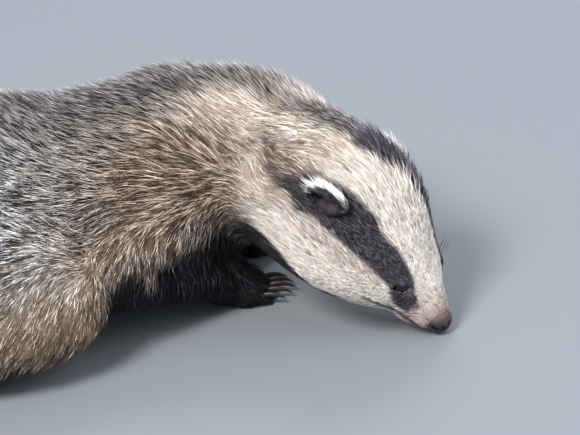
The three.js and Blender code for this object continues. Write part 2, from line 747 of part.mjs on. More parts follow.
// Locks grow round the body and neck but not under it, on each thigh's outer side, and round the tail.
const isUpper = (p, normal) => normal[2] > -0.8 && p[2] > 26;
const isLong = (p) => coatDepth(p) > 0.45 * COAT_DEPTH;
const isAhead = (p) => p[0] > TAIL_ROWS[0][0];
const onBody = (p, normal) => isUpper(p, normal) && isLong(p) && isAhead(p) && !held(CUTS.head, p);
const onThigh = (p, normal) => isUpper(p, normal) && normal[1] * Math.sign(p[1]) > 0.5;
const thighRows = [LEG_ROWS.hindleg_right, LEG_ROWS.hindleg_left].map((rows) => rows.slice(0, 3));
const thighs = thighRows.map((rows) => new Limb(rows, { ...FORWARD, steps: 8 }));
const locks = [
  ...locksRound(body, LOCK_SPREAD, 1, onBody),
  ...thighs.flatMap((thigh) => locksRound(thigh, LOCK_SPREAD, 0.9, onThigh)),
  ...locksRound(tail, LOCK_SPREAD * 0.8, 0.62, (p) => p[0] < TAIL_ROWS[1][0] && p[0] > TAIL_ROWS[4][0]),
];

// A grid's core surface with the locks that reach it
function coated(grid, [low, top]) {
  const near = locks.filter((lock) => {
    const { min, max } = lock.boundingBox();
    return min.every((v, k) => v < top[k]) && max.every((v, k) => v > low[k]);
  });
  return wasm.Manifold.union([surfaceOf(core, grid), ...near]);
}
const trunk = coated(boxGrid(BODY_BOX, BODY_STEP), BODY_BOX).subtract(FLOOR);

// Torso: what is left of the body when every other part is cut away
let torso = trunk;
for (const cut of Object.values(CUTS)) torso = outside(torso, cut);
const WAIST = { frame: WORLD, low: [-900, -400, -100], top: [-205, 400, 400] };
addPart("torso_rear", inside(torso, WAIST), "grizzled");
addPart("torso_front", outside(torso, WAIST), "grizzled");
addPart("neck", share(trunk, "neck"), "grizzled");
const tailBox = boxAround(tail, 30);
addPart("tail", share(coated(boxGrid(tailBox, LEG_STEP), tailBox), "tail"), "tail");

for (const [name, paw] of Object.entries(PAW_OF)) {
  const { frame, claws } = feet[paw];
  const legBox = boxAround(legs[name], 30);
  addPart(name, share(coated(boxGrid(legBox, LEG_STEP), legBox), name), "black");
  const pawBox = [add(frame.origin, [-62, -45, -12]), add(frame.origin, [50, 45, 46])];
  const pawSolid = share(surfaceOf(core, boxGrid(pawBox, PAW_STEP)).subtract(FLOOR), paw);
  addPart(paw, pawSolid, "black");
  claws.forEach(({ size, frame: way }, i) => {
    const ways = [way.forward, add(way.forward, way.up)];
    addPart(`claw_${paw}_${i + 1}`, clearOf(clawOf(way, size), pawSolid, ways), "claw");
  });
}

// Head: a muzzle with a mouth, lids round each eye, a hollow behind each ear's cup, and the nose
const headFrames = (place, forward, up, sign) => {
  const mirrored = ([f, l, u]) => [f, sign * l, u];
  return facing(head, mirrored(place), mirrored(forward), mirrored(up));
};
const rise = sub(MOUTH_FRONT, MOUTH_CORNER);
const mouthFrame = facing(head, MOUTH_CORNER, rise, [0, 0, 1]);
const mouthSlab = block(mouthFrame, [0, -60, -MOUTH_GAP / 2], [length(rise) + 20, 60, MOUTH_GAP / 2]);
const headNet = headGrid(head, { ahead: 14, steps: 28, growth: HEAD_GROWTH, half: 10 });
const muzzleNet = headGrid(head, { ahead: 14, steps: 10, growth: 1.1, half: 6 });
const muzzle = surfaceOf((p) => skull.distance(p) + MOUTH_DEPTH, muzzleNet);
let skullSolid = share(surfaceOf(core, headNet), "head");
skullSolid = skullSolid.subtract(mouthSlab.subtract(muzzle));

const noseFrame = facing(head, NOSE_PLACE, [1, 0, 0], [0, 0, 1]);
const noseBall = (grow) => ellipsoid(noseFrame, [0, 0, 0], NOSE_SIZE.map((v) => v + grow), 12);
let nose = noseBall(0);
for (const sign of [-1, 1]) {
  const mirrored = ([f, l, u]) => [f, sign * l, u];
  for (const { place, size } of [NOSTRIL, NOSTRIL_SLIT]) {
    nose = nose.subtract(ellipsoid(head, mirrored(place), size, 8));
  }
}
skullSolid = skullSolid.subtract(noseBall(GAP * 1.3));
addPart("nose", nose, "nose");

for (const [side, sign] of [["right", -1], ["left", 1]]) {
  const eye = headFrames(EYE_PLACE, EYE_GAZE, EYE_UP, sign);
  const ball = (grow) => ellipsoid(eye, [0, 0, 0], [1, 1, 1].map(() => EYE_RADIUS + grow), 10);
  const lids = ball(GAP * 1.3 + LID_THICKNESS);
  const slit = ellipsoid(eye, [EYE_RADIUS, 0, 0], LID_OPENING, 8);
  skullSolid = skullSolid.add(lids).subtract(ball(GAP * 1.3)).subtract(slit);
  addPart("eye_" + side, ball(0), "eye");
  const ear = headFrames(EAR_PLACES[side], EAR_OPENING, EAR_OUT, sign);
  const pit = [EAR_PIT[0], EAR_PIT[1] * sign, EAR_PIT[2]];
  skullSolid = skullSolid.subtract(ellipsoid(ear, pit, [9, EAR_HOLE, EAR_HOLE], 9));
  const [deep, wide, high] = EAR_SIZE;
  const hollow = ellipsoid(ear, [5.5, 0, -1.5], [deep, wide - EAR_WALL, high - EAR_WALL], 10);
  const cup = ellipsoid(ear, [0, 0, 0], EAR_SIZE, 12).subtract(hollow);
  const ways = [ear.up, ear.left, ear.forward].flatMap((way) => [way, scale(way, -1)]);
  addPart("ear_" + side, clearOf(cup, skullSolid, ways), "ear");
}
addPart("head", skullSolid, "face");

// The part's origin is under the middle of its outline, on the floor.
badger.updateMatrixWorld(true);
const bounds = new THREE.Box3().setFromObject(badger);
const middle = bounds.getCenter(new THREE.Vector3());
badger.position.set(-middle.x, -middle.y, -bounds.min.z);

export default badger;
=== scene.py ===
"""The look of a European badger, standing low with its head bent to the floor: one skin,
a coat of solid tufts that follows its lie, ears, eyes, nose, claws and whiskers."""
import math

import bpy
import numpy as np
from mathutils import Matrix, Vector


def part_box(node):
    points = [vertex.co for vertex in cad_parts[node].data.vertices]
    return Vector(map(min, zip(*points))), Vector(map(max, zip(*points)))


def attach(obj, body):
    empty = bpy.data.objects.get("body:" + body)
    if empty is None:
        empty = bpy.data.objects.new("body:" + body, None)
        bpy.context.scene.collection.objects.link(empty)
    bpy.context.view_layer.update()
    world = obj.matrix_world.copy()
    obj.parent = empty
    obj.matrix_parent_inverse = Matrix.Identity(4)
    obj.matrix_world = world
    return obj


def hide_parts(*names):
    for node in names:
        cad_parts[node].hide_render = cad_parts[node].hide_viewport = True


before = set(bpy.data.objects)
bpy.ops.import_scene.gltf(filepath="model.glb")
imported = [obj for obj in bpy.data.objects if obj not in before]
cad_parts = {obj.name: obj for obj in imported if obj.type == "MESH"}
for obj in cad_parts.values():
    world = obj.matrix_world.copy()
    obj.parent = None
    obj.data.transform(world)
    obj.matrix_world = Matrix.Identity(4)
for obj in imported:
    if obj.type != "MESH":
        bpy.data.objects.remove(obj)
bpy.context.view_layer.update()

scene = bpy.context.scene

# Sizes in millimetres, in the badger's own frame: x back to front, y to its left, z up.
NECK_BLEND = 30
LIMB_BLEND = 26
THIGH_BLEND = 75
TAIL_BLEND = 16
TOE_BLEND = 5
COAT_DEPTH = 17

NOSE_TIP = [135.1, -161.8, 8.6]
HEAD_TURN = [-47.6, -57.7, -10.3]
EYE_RADIUS = 5.4
EYE_PLACE = [-41.5, 21.2, -3.4]
EYE_GAZE = [0.42, 0.84, 0.34]
EYE_UP = [-0.73, 0, 0.68]
LID_THICKNESS = 1.5
LID_OPENING = [8, 6.4, 2.2]
EAR_PLACES = {"right": [-117, 44.5, 1], "left": [-114.5, 45.5, -7]}
EAR_OUT = [-0.41, -0.16, 0.9]
EAR_OPENING = [0.2, 0.96, 0.15]
EAR_SIZE = np.array([8.5, 15, 9])
EAR_WALL = 2.8
EAR_CUP = [5.5, 0, -1.5]
EAR_PIT = [4, 6, -4]
EAR_HOLE = [9, 6, 6]
NOSE_PLACE = [-7, 0, -8.8]
NOSE_SIZE = np.array([8.8, 10.6, 8.4])
NOSTRILS = [([1, 4.8, -6], [4.5, 2.2, 2.8]), ([-2.5, 8.6, -8.2], [4.2, 3.6, 1.2])]
MOUTH_FRONT = [-6, 0, -17.5]
MOUTH_CORNER = [-44, 0, -25]

BODY_ROWS = np.array([
    [-398, -12, 118, 88, 26], [-382, -11, 134, 66, 60],
    [-348, -6, 155, 42, 94], [-302, 2, 168, 24, 112],
    [-257, 6, 171, 14, 119], [-215, 8, 167, 10, 120],
    [-180, 9, 161, 9, 118], [-147, 8, 154, 10, 115],
    [-119, 6, 151, 11, 112], [-90, 4, 154, 14, 107],
    [-54, 0, 160, 22, 99], [-19, -10, 165, 30, 87],
    [16, -26, 164, 34, 75], [42, -56, 145, 38, 61],
    [61, -82, 130, 43, 52], [74, -101, 123, 50, 47],
])
HEAD_ROWS = np.array([
    [17, 11.5, 17.5, 15.5], [23, 12.5, 19, 19.5],
    [30, 15, 21.5, 24], [40, 15, 26.5, 26.5],
    [50, 16.5, 33, 30.5], [62, 20.5, 43, 37.5],
    [76, 25, 51, 46], [92, 31, 55.5, 53.5],
    [110, 37, 55, 56], [128, 41, 53, 51.5],
])
LEG_ROWS = {
    "foreleg_right": [
        [-30, -58, 112, 36, 34], [-52, -80, 88, 34, 30], [-78, -88, 62, 26, 24],
        [-50, -76, 45, 22, 20], [-22, -60, 26, 17, 16], [-6, -52, 16, 17, 12],
    ],
    "foreleg_left": [
        [-30, 44, 112, 36, 34], [-50, 68, 88, 34, 30], [-72, 78, 60, 26, 24],
        [-42, 58, 42, 22, 20], [-8, 36, 25, 17, 16], [8, 28, 16, 17, 12],
    ],
    "hindleg_right": [
        [-285, -56, 100, 58, 54], [-220, -104, 66, 54, 62], [-146, -127, 57, 34, 40],
        [-190, -121, 48, 26, 26], [-238, -118, 34, 18, 18], [-248, -118, 18, 17, 14],
    ],
    "hindleg_left": [
        [-292, 64, 100, 58, 54], [-252, 102, 70, 52, 62], [-188, 127, 57, 33, 40],
        [-224, 119, 50, 26, 26], [-268, 113, 34, 18, 18], [-278, 112, 18, 17, 14],
    ],
}
TAIL_ROWS = [
    [-372, -10, 122, 26, 22], [-400, -14, 114, 24, 20], [-440, -20, 92, 25, 21],
    [-482, -28, 64, 22, 19], [-516, -34, 42, 14, 12], [-538, -38, 30, 5, 5],
]
FORE_SIZES = dict(half=21, back=22, front=12, toe=6.2, claw=15)
HIND_SIZES = dict(half=20, back=36, front=18, toe=6, claw=14)
FEET = {
    "forepaw_right": dict(at=[1, -51, 0], yaw=-6, **FORE_SIZES),
    "forepaw_left": dict(at=[12, 27, 0], yaw=4, **FORE_SIZES),
    "hindpaw_right": dict(at=[-216, -118, 0], yaw=-8, **HIND_SIZES),
    "hindpaw_left": dict(at=[-246, 112, 0], yaw=8, **HIND_SIZES),
}
TOE_COUNT = 5
TOE_ARC = 4.5
TOE_SPREAD = 7
OUTER_CLAW_LOSS = 0.14
FLOOR_GAP = 0.6
SIDES = {"right": -1, "left": 1}
MIRROR = {side: np.array([1, sign, 1]) for side, sign in SIDES.items()}

SEED = 20251
random = np.random.default_rng(SEED)
uniform = random.uniform


def norm(v):
    return np.linalg.norm(v, axis=-1)


def unit(v):
    return v / np.maximum(norm(v)[..., None], 1e-9)


def eased(v, low, high):
    t = np.clip((v - low) / (high - low), 0, 1)
    return t * t * (3 - 2 * t)


def faded(v, low, high):
    return 1 - eased(v, low, high)


def mixed(a, b, t):
    return a + (b - a) * t


def dots(a, b):
    return np.einsum("ij,ij->i", a, b)


def within(p, low, high):
    return np.all((p > low) & (p < high), axis=1)


class Place:
    """A frame: an origin with forward, left and up."""

    def __init__(self, origin, forward, left, up):
        self.origin = np.array(origin, float)
        self.axes = np.array([forward, left, up], float)

    def world(self, p):
        return self.origin + np.asarray(p, float) @ self.axes

    def local(self, p):
        return (p - self.origin) @ self.axes.T

    def facing(self, at, forward, up):
        """A frame at a point of this one, facing one way there."""
        ahead = unit(np.array(forward, float) @ self.axes)
        left = unit(np.cross(np.array(up, float) @ self.axes, ahead))
        return Place(self.world(at), ahead, left, np.cross(ahead, left))


def turned(origin, yaw, pitch=0, roll=0):
    cy, sy = math.cos(math.radians(yaw)), math.sin(math.radians(yaw))
    cp, sp = math.cos(math.radians(pitch)), math.sin(math.radians(pitch))
    cr, sr = math.cos(math.radians(roll)), math.sin(math.radians(roll))
    forward = np.array([cy * cp, sy * cp, sp])
    level = np.array([-sy, cy, 0])
    left = level * cr + np.cross(forward, level) * sr
    return Place(origin, forward, left, np.cross(forward, left))


CURVE_STEPS = 4


def curve_through(rows):
    """The smooth curve through rows of numbers, each row being a place and its half sizes."""
    rows = np.array(rows, float)
    padded = np.vstack([rows[:1], rows, rows[-1:]])
    t = (np.arange(CURVE_STEPS) / CURVE_STEPS)[:, None]
    out = []
    for a, b, c, d in zip(padded, padded[1:], padded[2:], padded[3:]):
        rise = (t**3 - 2 * t**2 + t) * (c - a) / 2
        fall = (t**3 - t**2) * (d - b) / 2
        out.append((2 * t**3 - 3 * t**2 + 1) * b + rise + (3 * t**2 - 2 * t**3) * c + fall)
    return np.vstack(out + [rows[-1:]])


# Past its reach a limb's distance isn't worked out, and counts as far
REACH = 45.0
FAR = 1000.0


def near_rows(p, rows):
    """The numbers of the points in reach of a curve's rows."""
    margin = REACH + rows[:, 3:].max()
    return np.flatnonzero(within(p, rows[:, :3].min(0) - margin, rows[:, :3].max(0) + margin))


class Limb:
    """A tapering form along a curve: each row is a centre, a half width and a half height."""

    def __init__(self, rows, up=(0, 0, 1)):
        self.rows = curve_through(rows)
        self.up = np.array(up, float)

    def distance(self, p):
        best = np.full(len(p), FAR)
        near = near_rows(p, self.rows)
        if not len(near):
            return best
        q = p[near]
        d = np.full(len(q), FAR)
        for i in range(len(self.rows) - 1):
            pair = self.rows[i : i + 2]
            pick = near_rows(q, pair)
            if len(pick):
                d[pick] = np.minimum(d[pick], self.stretch(*pair, q[pick]))
        best[near] = d
        return best

    def stretch(self, a, b, p):
        along = b[:3] - a[:3]
        tangent = unit(along)
        rise = unit(self.up - tangent * (self.up @ tangent))
        side = np.cross(rise, tangent)
        q = p - a[:3]
        t = np.clip(q @ along / (along @ along), 0, 1)
        away = q - t[:, None] * along
        wide = mixed(a[3], b[3], t)
        high = mixed(a[4], b[4], t)
        end = np.minimum(wide, high)
        across = (away @ side / wide) ** 2 + (away @ rise / high) ** 2
        ratio = np.sqrt(across + (away @ tangent / end) ** 2)
        return np.where(ratio > 1e-6, norm(away) * (1 - 1 / np.maximum(ratio, 1e-6)), -end)


def least(limbs, p):
    """Distance to the nearest of some limbs."""
    return np.min([limb.distance(p) for limb in limbs], axis=0)


def blend(a, b, k):
    """The nearer of two distances, rounded where they meet."""
    h = np.maximum(k - np.abs(a - b), 0) / k
    return np.minimum(a, b) - h * h * k / 4


# The height of a leg's sections points forward
FORWARD = (1, 0, 0.2)
body_limb = Limb([[x, y, (top + low) / 2, wide, (top - low) / 2] for x, y, top, low, wide in BODY_ROWS])
head = turned(NOSE_TIP, *HEAD_TURN)
skull = Limb([[*head.world([-f, 0, -u]), wide, high] for f, u, wide, high in HEAD_ROWS], head.axes[2])
legs = {name: Limb(rows, FORWARD) for name, rows in LEG_ROWS.items()}
shanks = [Limb(rows[2:], FORWARD) for rows in LEG_ROWS.values()]
foreshanks = shanks[:2]
forearms = [Limb(rows[3:], FORWARD) for name, rows in LEG_ROWS.items() if name.startswith("fore")]
hindshanks = [Limb(rows[4:], FORWARD) for name, rows in LEG_ROWS.items() if name.startswith("hind")]
tail = Limb(TAIL_ROWS)


def toes_of(half, front, toe):
    """The toes of a foot in its own frame: where each has its root, knuckle and tip."""
    toes = []
    for i in range(TOE_COUNT):
        across = 2 * i / (TOE_COUNT - 1) - 1
        y = across * (half - toe)
        x = front - TOE_ARC * across**2
        root = [-4, y * 0.85, toe * 1.35]
        toes.append((across, root, [x - 4, y, toe * 1.5], [x + 4, y * 1.08, toe * 0.95]))
    return toes


class Foot:
    """A foot on the floor: a sole, toes that blend into it, and where each claw grows."""

    def __init__(self, at, yaw, half, back, front, toe, claw):
        self.place = turned(at, yaw)
        rows = [
            [-back, 0, 11, half * 0.62, 12],
            [-back * 0.35, 0, 11, half * 0.82, 13],
            [front - 12, 0, 9, half * 0.92, 11],
        ]
        self.sole = Limb([[*self.place.world(r[:3]), *r[3:]] for r in rows])
        self.toes = []
        self.claws = []
        for across, root, knuckle, tip in toes_of(half, front, toe):
            sizes = [(root, toe, toe), (knuckle, toe, toe), (tip, toe * 0.9, toe * 0.85)]
            self.toes.append(Limb([[*self.place.world(p), w, h] for p, w, h in sizes]))
            base = self.place.world([tip[0] + toe * 0.55, tip[1], tip[2] + toe * 0.42])
            length = claw * (1 - OUTER_CLAW_LOSS * abs(across))
            self.claws.append((turned(base, yaw + across * TOE_SPREAD), length))

    def distance(self, p):
        d = self.sole.distance(p)
        for toe in self.toes:
            d = blend(d, toe.distance(p), TOE_BLEND)
        return d


feet = {name: Foot(**sizes) for name, sizes in FEET.items()}


def outline(p):
    """The whole coat's outline: negative inside, positive outside."""
    d = blend(body_limb.distance(p), skull.distance(p), NECK_BLEND)
    for name, leg in legs.items():
        d = blend(d, leg.distance(p), THIGH_BLEND if name.startswith("hind") else LIMB_BLEND)
    for foot in feet.values():
        d = blend(d, foot.distance(p), TOE_BLEND * 2)
    return blend(d, tail.distance(p), TAIL_BLEND)


def coat_depth(p):
    """How deep the long coat is at a point: nothing on the face and lower legs."""
    legward = least(shanks, p)
    return COAT_DEPTH * eased(skull.distance(p), -16, 30) * eased(legward, 2, 30)


eyes = {}
ears = {}
for side, mirror in MIRROR.items():
    eyes[side] = head.facing(EYE_PLACE * mirror, EYE_GAZE * mirror, EYE_UP)
    ears[side] = head.facing(EAR_PLACES[side] * mirror, EAR_OPENING * mirror, EAR_OUT * mirror)
nose_place = head.facing(NOSE_PLACE, [1, 0, 0], [0, 0, 1])
mouth = head.facing(MOUTH_CORNER, np.subtract(MOUTH_FRONT, MOUTH_CORNER), [0, 0, 1])


def ball(place, p, radii, at=(0, 0, 0)):
    """Rough distance to an ellipsoid in a frame."""
    radii = np.array(radii, float)
    return (norm((place.local(p) - np.array(at)) / radii) - 1) * radii.min()


def from_eyes(p):
    return np.min([norm(p - eye.origin) for eye in eyes.values()], axis=0)


# The short coat's least and greatest depth, and how much of the long coat is over the skin
FINE_COAT = 0.8
SHORT_COAT = 3.4
SKIN_SHARE = 0.6


def skin_depth(p):
    """How far the skin lies under the coat's outline."""
    face = eased(-head.local(p)[:, 0], 12, 70)
    toes = eased(p[:, 2], 4, 34)
    short = mixed(FINE_COAT, SHORT_COAT, np.minimum(face, toes)) * eased(from_eyes(p), 7, 18)
    return short + SKIN_SHARE * coat_depth(p)


def trunk_skin(p):
    """The skin of the whole animal, without the fine forms of the head."""
    return np.maximum(outline(p) + skin_depth(p), FLOOR_GAP - p[:, 2])


def ear_hollow(ear, p, deep, wall):
    """The hollow of an ear, as deep as given and leaving a wall round it."""
    return ball(ear, p, [deep, EAR_SIZE[1] - wall, EAR_SIZE[2] - wall], EAR_CUP)


LIP_HEIGHT = 0.9
LIP_MIDDLE = 2.4
LIP_WIDTH = 1.6
MOUTH_HALF_GAP = 0.9
MOUTH_DEPTH = 4.2
LID_GAP = 0.2
LID_BLEND = 2.5
EAR_BLEND = 2.0
PAD_SUNK = 1.5


def head_skin(p):
    """The skin with lids, the line of the mouth, and ears."""
    d = outline(p) + skin_depth(p)
    q = mouth.local(p)
    lips = np.exp(-(((np.abs(q[:, 2]) - LIP_MIDDLE) / LIP_WIDTH) ** 2)) * eased(q[:, 0], -4, 6)
    d = d - LIP_HEIGHT * lips
    inner = -(skull.distance(p) + MOUTH_DEPTH)
    slot = np.maximum.reduce([np.abs(q[:, 2]) - MOUTH_HALF_GAP, -q[:, 0], inner])
    d = np.maximum(d, -slot)
    for side, mirror in MIRROR.items():
        eye, ear = eyes[side], ears[side]
        d = blend(d, ball(eye, p, [EYE_RADIUS + LID_THICKNESS] * 3), LID_BLEND)
        d = np.maximum(d, -ball(eye, p, [EYE_RADIUS + LID_GAP] * 3))
        d = np.maximum(d, -ball(eye, p, LID_OPENING, [EYE_RADIUS, 0, 0]))
        d = np.maximum(d, -ball(ear, p, EAR_HOLE, EAR_PIT * mirror))
        cup = np.maximum(ball(ear, p, EAR_SIZE), -ear_hollow(ear, p, EAR_SIZE[0], EAR_WALL))
        d = blend(d, cup, EAR_BLEND)
    d = np.maximum(d, -ball(nose_place, p, NOSE_SIZE - PAD_SUNK))
    return np.maximum(d, FLOOR_GAP - p[:, 2])


SLOPE_STEP = 0.6


def slope(field, p):
    """Unit gradient of a field at points."""
    out = np.empty_like(p)
    for k in range(3):
        shift = np.zeros(3)
        shift[k] = SLOPE_STEP
        out[:, k] = field(p + shift) - field(p - shift)
    return unit(out)


# The corners of a grid's cell, and the pairs of corners that its edges join
CORNERS = np.array([[a, b, c] for c in (0, 1) for b in (0, 1) for a in (0, 1)])
EDGES = [(a, a + step) for step in (1, 2, 4) for a in range(8) if not a & step]
# Fine cells along a coarse one, and how near the surface, in coarse cells, the grid is fine
COARSE = 4
NEAR = 1.6


class Grid:
    """A field sampled on a grid, finely near its surface and coarsely elsewhere."""

    def __init__(self, field, low, high, step):
        self.low = np.array(low, float)
        self.step = step
        cells = np.ceil((np.array(high) - self.low) / (step * COARSE)).astype(int)
        index = np.stack(np.meshgrid(*[np.arange(n + 1) for n in cells], indexing="ij"), axis=-1)
        wide = field(self.low + index.reshape(-1, 3) * step * COARSE).reshape(cells + 1)
        closest = np.full(cells, FAR)
        for a, b, c in CORNERS:
            corner = wide[a : a + cells[0], b : b + cells[1], c : c + cells[2]]
            closest = np.minimum(closest, np.abs(corner))
        close = np.argwhere(closest < step * COARSE * NEAR)
        values = wide[:-1, :-1, :-1]
        for axis in range(3):
            values = np.repeat(values, COARSE, axis=axis)
        inner = np.stack(np.meshgrid(*[np.arange(COARSE)] * 3, indexing="ij"), axis=-1).reshape(-1, 3)
        fine = (close[:, None] * COARSE + inner[None]).reshape(-1, 3)
        values[tuple(fine.T)] = field(self.low + fine * step)
        self.values = values

    def at(self, p):
        """The field's value and slope at points, from the grid."""
        q = (p - self.low) / self.step
        base = np.clip(np.floor(q).astype(int), 0, np.array(self.values.shape) - 2)
        t = np.clip(q - base, 0, 1)
        value = np.zeros(len(p))
        rise = np.zeros_like(p)
        for corner in CORNERS:
            v = self.values[tuple((base + corner).T)]
            weights = np.where(corner == 1, t, 1 - t)
            value += v * weights.prod(axis=1)
            for k in range(3):
                others = [m for m in range(3) if m != k]
                rise[:, k] += v * (1 if corner[k] else -1) * weights[:, others].prod(axis=1)
        return value, unit(rise)

    def surface(self):
        """Points and quads of the surface where the field is zero."""
        values = self.values
        inside = values < 0
        shape = np.array(values.shape) - 1
        total = np.zeros(shape, np.int8)
        for a, b, c in CORNERS:
            total += inside[a : a + shape[0], b : b + shape[1], c : c + shape[2]]
        active = (total > 0) & (total < 8)
        cells = np.argwhere(active)
        number = np.full(shape, -1)
        number[active] = np.arange(len(cells))
        corner_values = [values[tuple((cells + corner).T)] for corner in CORNERS]
        place = np.zeros((len(cells), 3))
        count = np.zeros(len(cells))
        for a, b in EDGES:
            va, vb = corner_values[a], corner_values[b]
            crosses = (va < 0) != (vb < 0)
            t = np.where(crosses, va / np.where(crosses, va - vb, 1), 0)
            spot = CORNERS[a] + (CORNERS[b] - CORNERS[a]) * t[:, None]
            place += np.where(crosses[:, None], spot, 0)
            count += crosses
        points = self.low + (cells + place / count[:, None]) * self.step
        quads = []
        for axis in range(3):
            u, v = (axis + 1) % 3, (axis + 2) % 3
            starts = np.argwhere(np.diff(inside, axis=axis))
            starts = starts[(starts[:, u] > 0) & (starts[:, v] > 0)]
            starts = starts[(starts[:, u] < shape[u]) & (starts[:, v] < shape[v])]
            solid = inside[tuple(starts.T)]
            ring = []
            for du, dv in ((1, 1), (0, 1), (0, 0), (1, 0)):
                cell = starts.copy()
                cell[:, u] -= du
                cell[:, v] -= dv
                ring.append(number[tuple(cell.T)])
            ring = np.stack(ring, axis=1)
            quads.append(np.where(solid[:, None], ring, ring[:, ::-1]))
        return points, np.vstack(quads)


def settled(field, points, reach=2.0):
    """Points moved onto a field's surface, and their normals."""
    normals = slope(field, points)
    for _ in range(2):
        points = points - normals * np.clip(field(points), -reach, reach)[:, None]
    return points, slope(field, points)


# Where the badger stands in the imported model's frame
low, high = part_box("eye_right")
SHIFT = np.array(low + high) / 2 * 1000 - eyes["right"].origin


def flat(values):
    return np.asarray(values, np.float32).ravel()


def make_mesh(name, points, faces, material, uv=None, tint=None):
    """A mesh object: faces of one size, uv for each of their corners, tint for each point."""
    mesh = bpy.data.meshes.new(name)
    mesh.vertices.add(len(points))
    mesh.vertices.foreach_set("co", flat((points + SHIFT) / 1000))
    mesh.loops.add(faces.size)
    mesh.loops.foreach_set("vertex_index", faces.astype(np.int32).ravel())
    mesh.polygons.add(len(faces))
    starts = np.arange(0, faces.size, faces.shape[1], dtype=np.int32)
    mesh.polygons.foreach_set("loop_start", starts)
    mesh.update(calc_edges=True)
    mesh.polygons.foreach_set("use_smooth", np.ones(len(faces), bool))
    if uv is not None:
        mesh.uv_layers.new(name="OFBake").data.foreach_set("uv", flat(uv))
    if tint is not None:
        colours = mesh.color_attributes.new("tint", "FLOAT_COLOR", "POINT")
        colours.data.foreach_set("color", flat(np.hstack([tint, np.ones((len(tint), 1))])))
    mesh.validate()
    mesh.materials.append(material)
    piece = bpy.data.objects.new(name, mesh)
    scene.collection.objects.link(piece)
    return piece


def linear(r, g, b):
    """A colour given as 0 to 255, as the shader wants it."""
    c = np.array([r, g, b]) / 255
    return np.where(c <= 0.04045, c / 12.92, ((c + 0.055) / 1.055) ** 2.4)


WHITE = linear(246, 244, 242)
DARK = linear(34, 29, 28)
# Colours at the root, the band and the tip of a tuft, for each zone of the coat
TONES = {
    "grizzled": [(158, 140, 124), (40, 34, 32), (244, 247, 250)],
    "ridge": [(62, 50, 44), (20, 17, 18), (112, 104, 102)],
    "warm": [(196, 150, 112), (62, 44, 34), (234, 208, 182)],
    "belly": [(190, 152, 112), (98, 74, 52), (226, 198, 164)],
    "neck": [(238, 220, 198), (196, 174, 152), (255, 251, 245)],
    "smear": [(120, 98, 84), (48, 40, 40), (150, 132, 120)],
    "tail": [(196, 174, 142), (150, 126, 98), (236, 222, 200)],
    "black": [(22, 20, 23), (14, 13, 16), (42, 40, 46)],
    "face": [(226, 210, 192), (240, 230, 218), (255, 252, 246)],
    # The stripe's pale bluish tip is painted highlight on its black hair
    "stripe": [(18, 15, 17), (13, 12, 14), (104, 100, 112)],
    "muzzle": [(158, 128, 122), (178, 152, 146), (222, 208, 200)],
    "lid": [(112, 100, 110), (96, 86, 94), (140, 128, 138)],
}
ZONES = {zone: np.array([linear(*tone) for tone in tones]) for zone, tones in TONES.items()}

# Where the black of the chest ends: height along the body
BLACK_EDGE_X = [-108, -82, -57, -34, -13, 8, 27, 45, 62]
BLACK_EDGE_Z = [56, 69, 70, 71, 73, 81, 89, 90, 64]
# Where the throat's black and the stripes lie: degrees round the head, by millimetres behind its tip
JAW_BEHIND = [42, 55, 66, 85, 100, 112, 130]
JAW_ANGLE = [-42, -40, -44, -36, -28, -20, -18]
STRIPE_BEHIND = [8, 15, 25, 32, 44, 62, 91, 112, 131, 150]
STRIPE_LOW = [-8, -14, -8, 0, 17, 22, 21, 20, 18, 12]
STRIPE_HIGH = [4, 12, 38, 44, 49, 58, 62, 58, 50, 14]
FAR_BEHIND = [32, 60, 78, 96, 113, 131, 147, 163]
FAR_HIGH = [46, 52, 67, 77, 85, 89, 88, 72]
RIDGE_TURN = 8


def waves(p, size, seed):
    """Smooth noise between about -1 and 1, with patches of a given size."""
    draw = np.random.default_rng(seed)
    total = np.zeros(len(p))
    for _ in range(7):
        way = unit(draw.normal(size=3)) * draw.uniform(0.6, 1.5)
        total += np.sin(p @ way * (2 * math.pi / size) + draw.uniform(0, 7))
    return total / 2.6


def head_angle(q):
    """Degrees up from the side of the head, at points given in the head's frame."""
    axis = np.interp(-q[:, 0], HEAD_ROWS[:, 0], HEAD_ROWS[:, 1])
    return np.degrees(np.arctan2(q[:, 2] + axis, np.abs(q[:, 1])))


def body_at(p):
    """The body's middle, top, underside and half width at each point's x."""
    return [np.interp(p[:, 0], BODY_ROWS[:, 0], column) for column in BODY_ROWS.T[1:]]


def body_angle(p):
    """Degrees up from the side of the body."""
    middle, top, low, wide = body_at(p)
    up = (p[:, 2] - (top + low) / 2) / ((top - low) / 2)
    return np.degrees(np.arctan2(up, np.abs(p[:, 1] - middle) / wide))


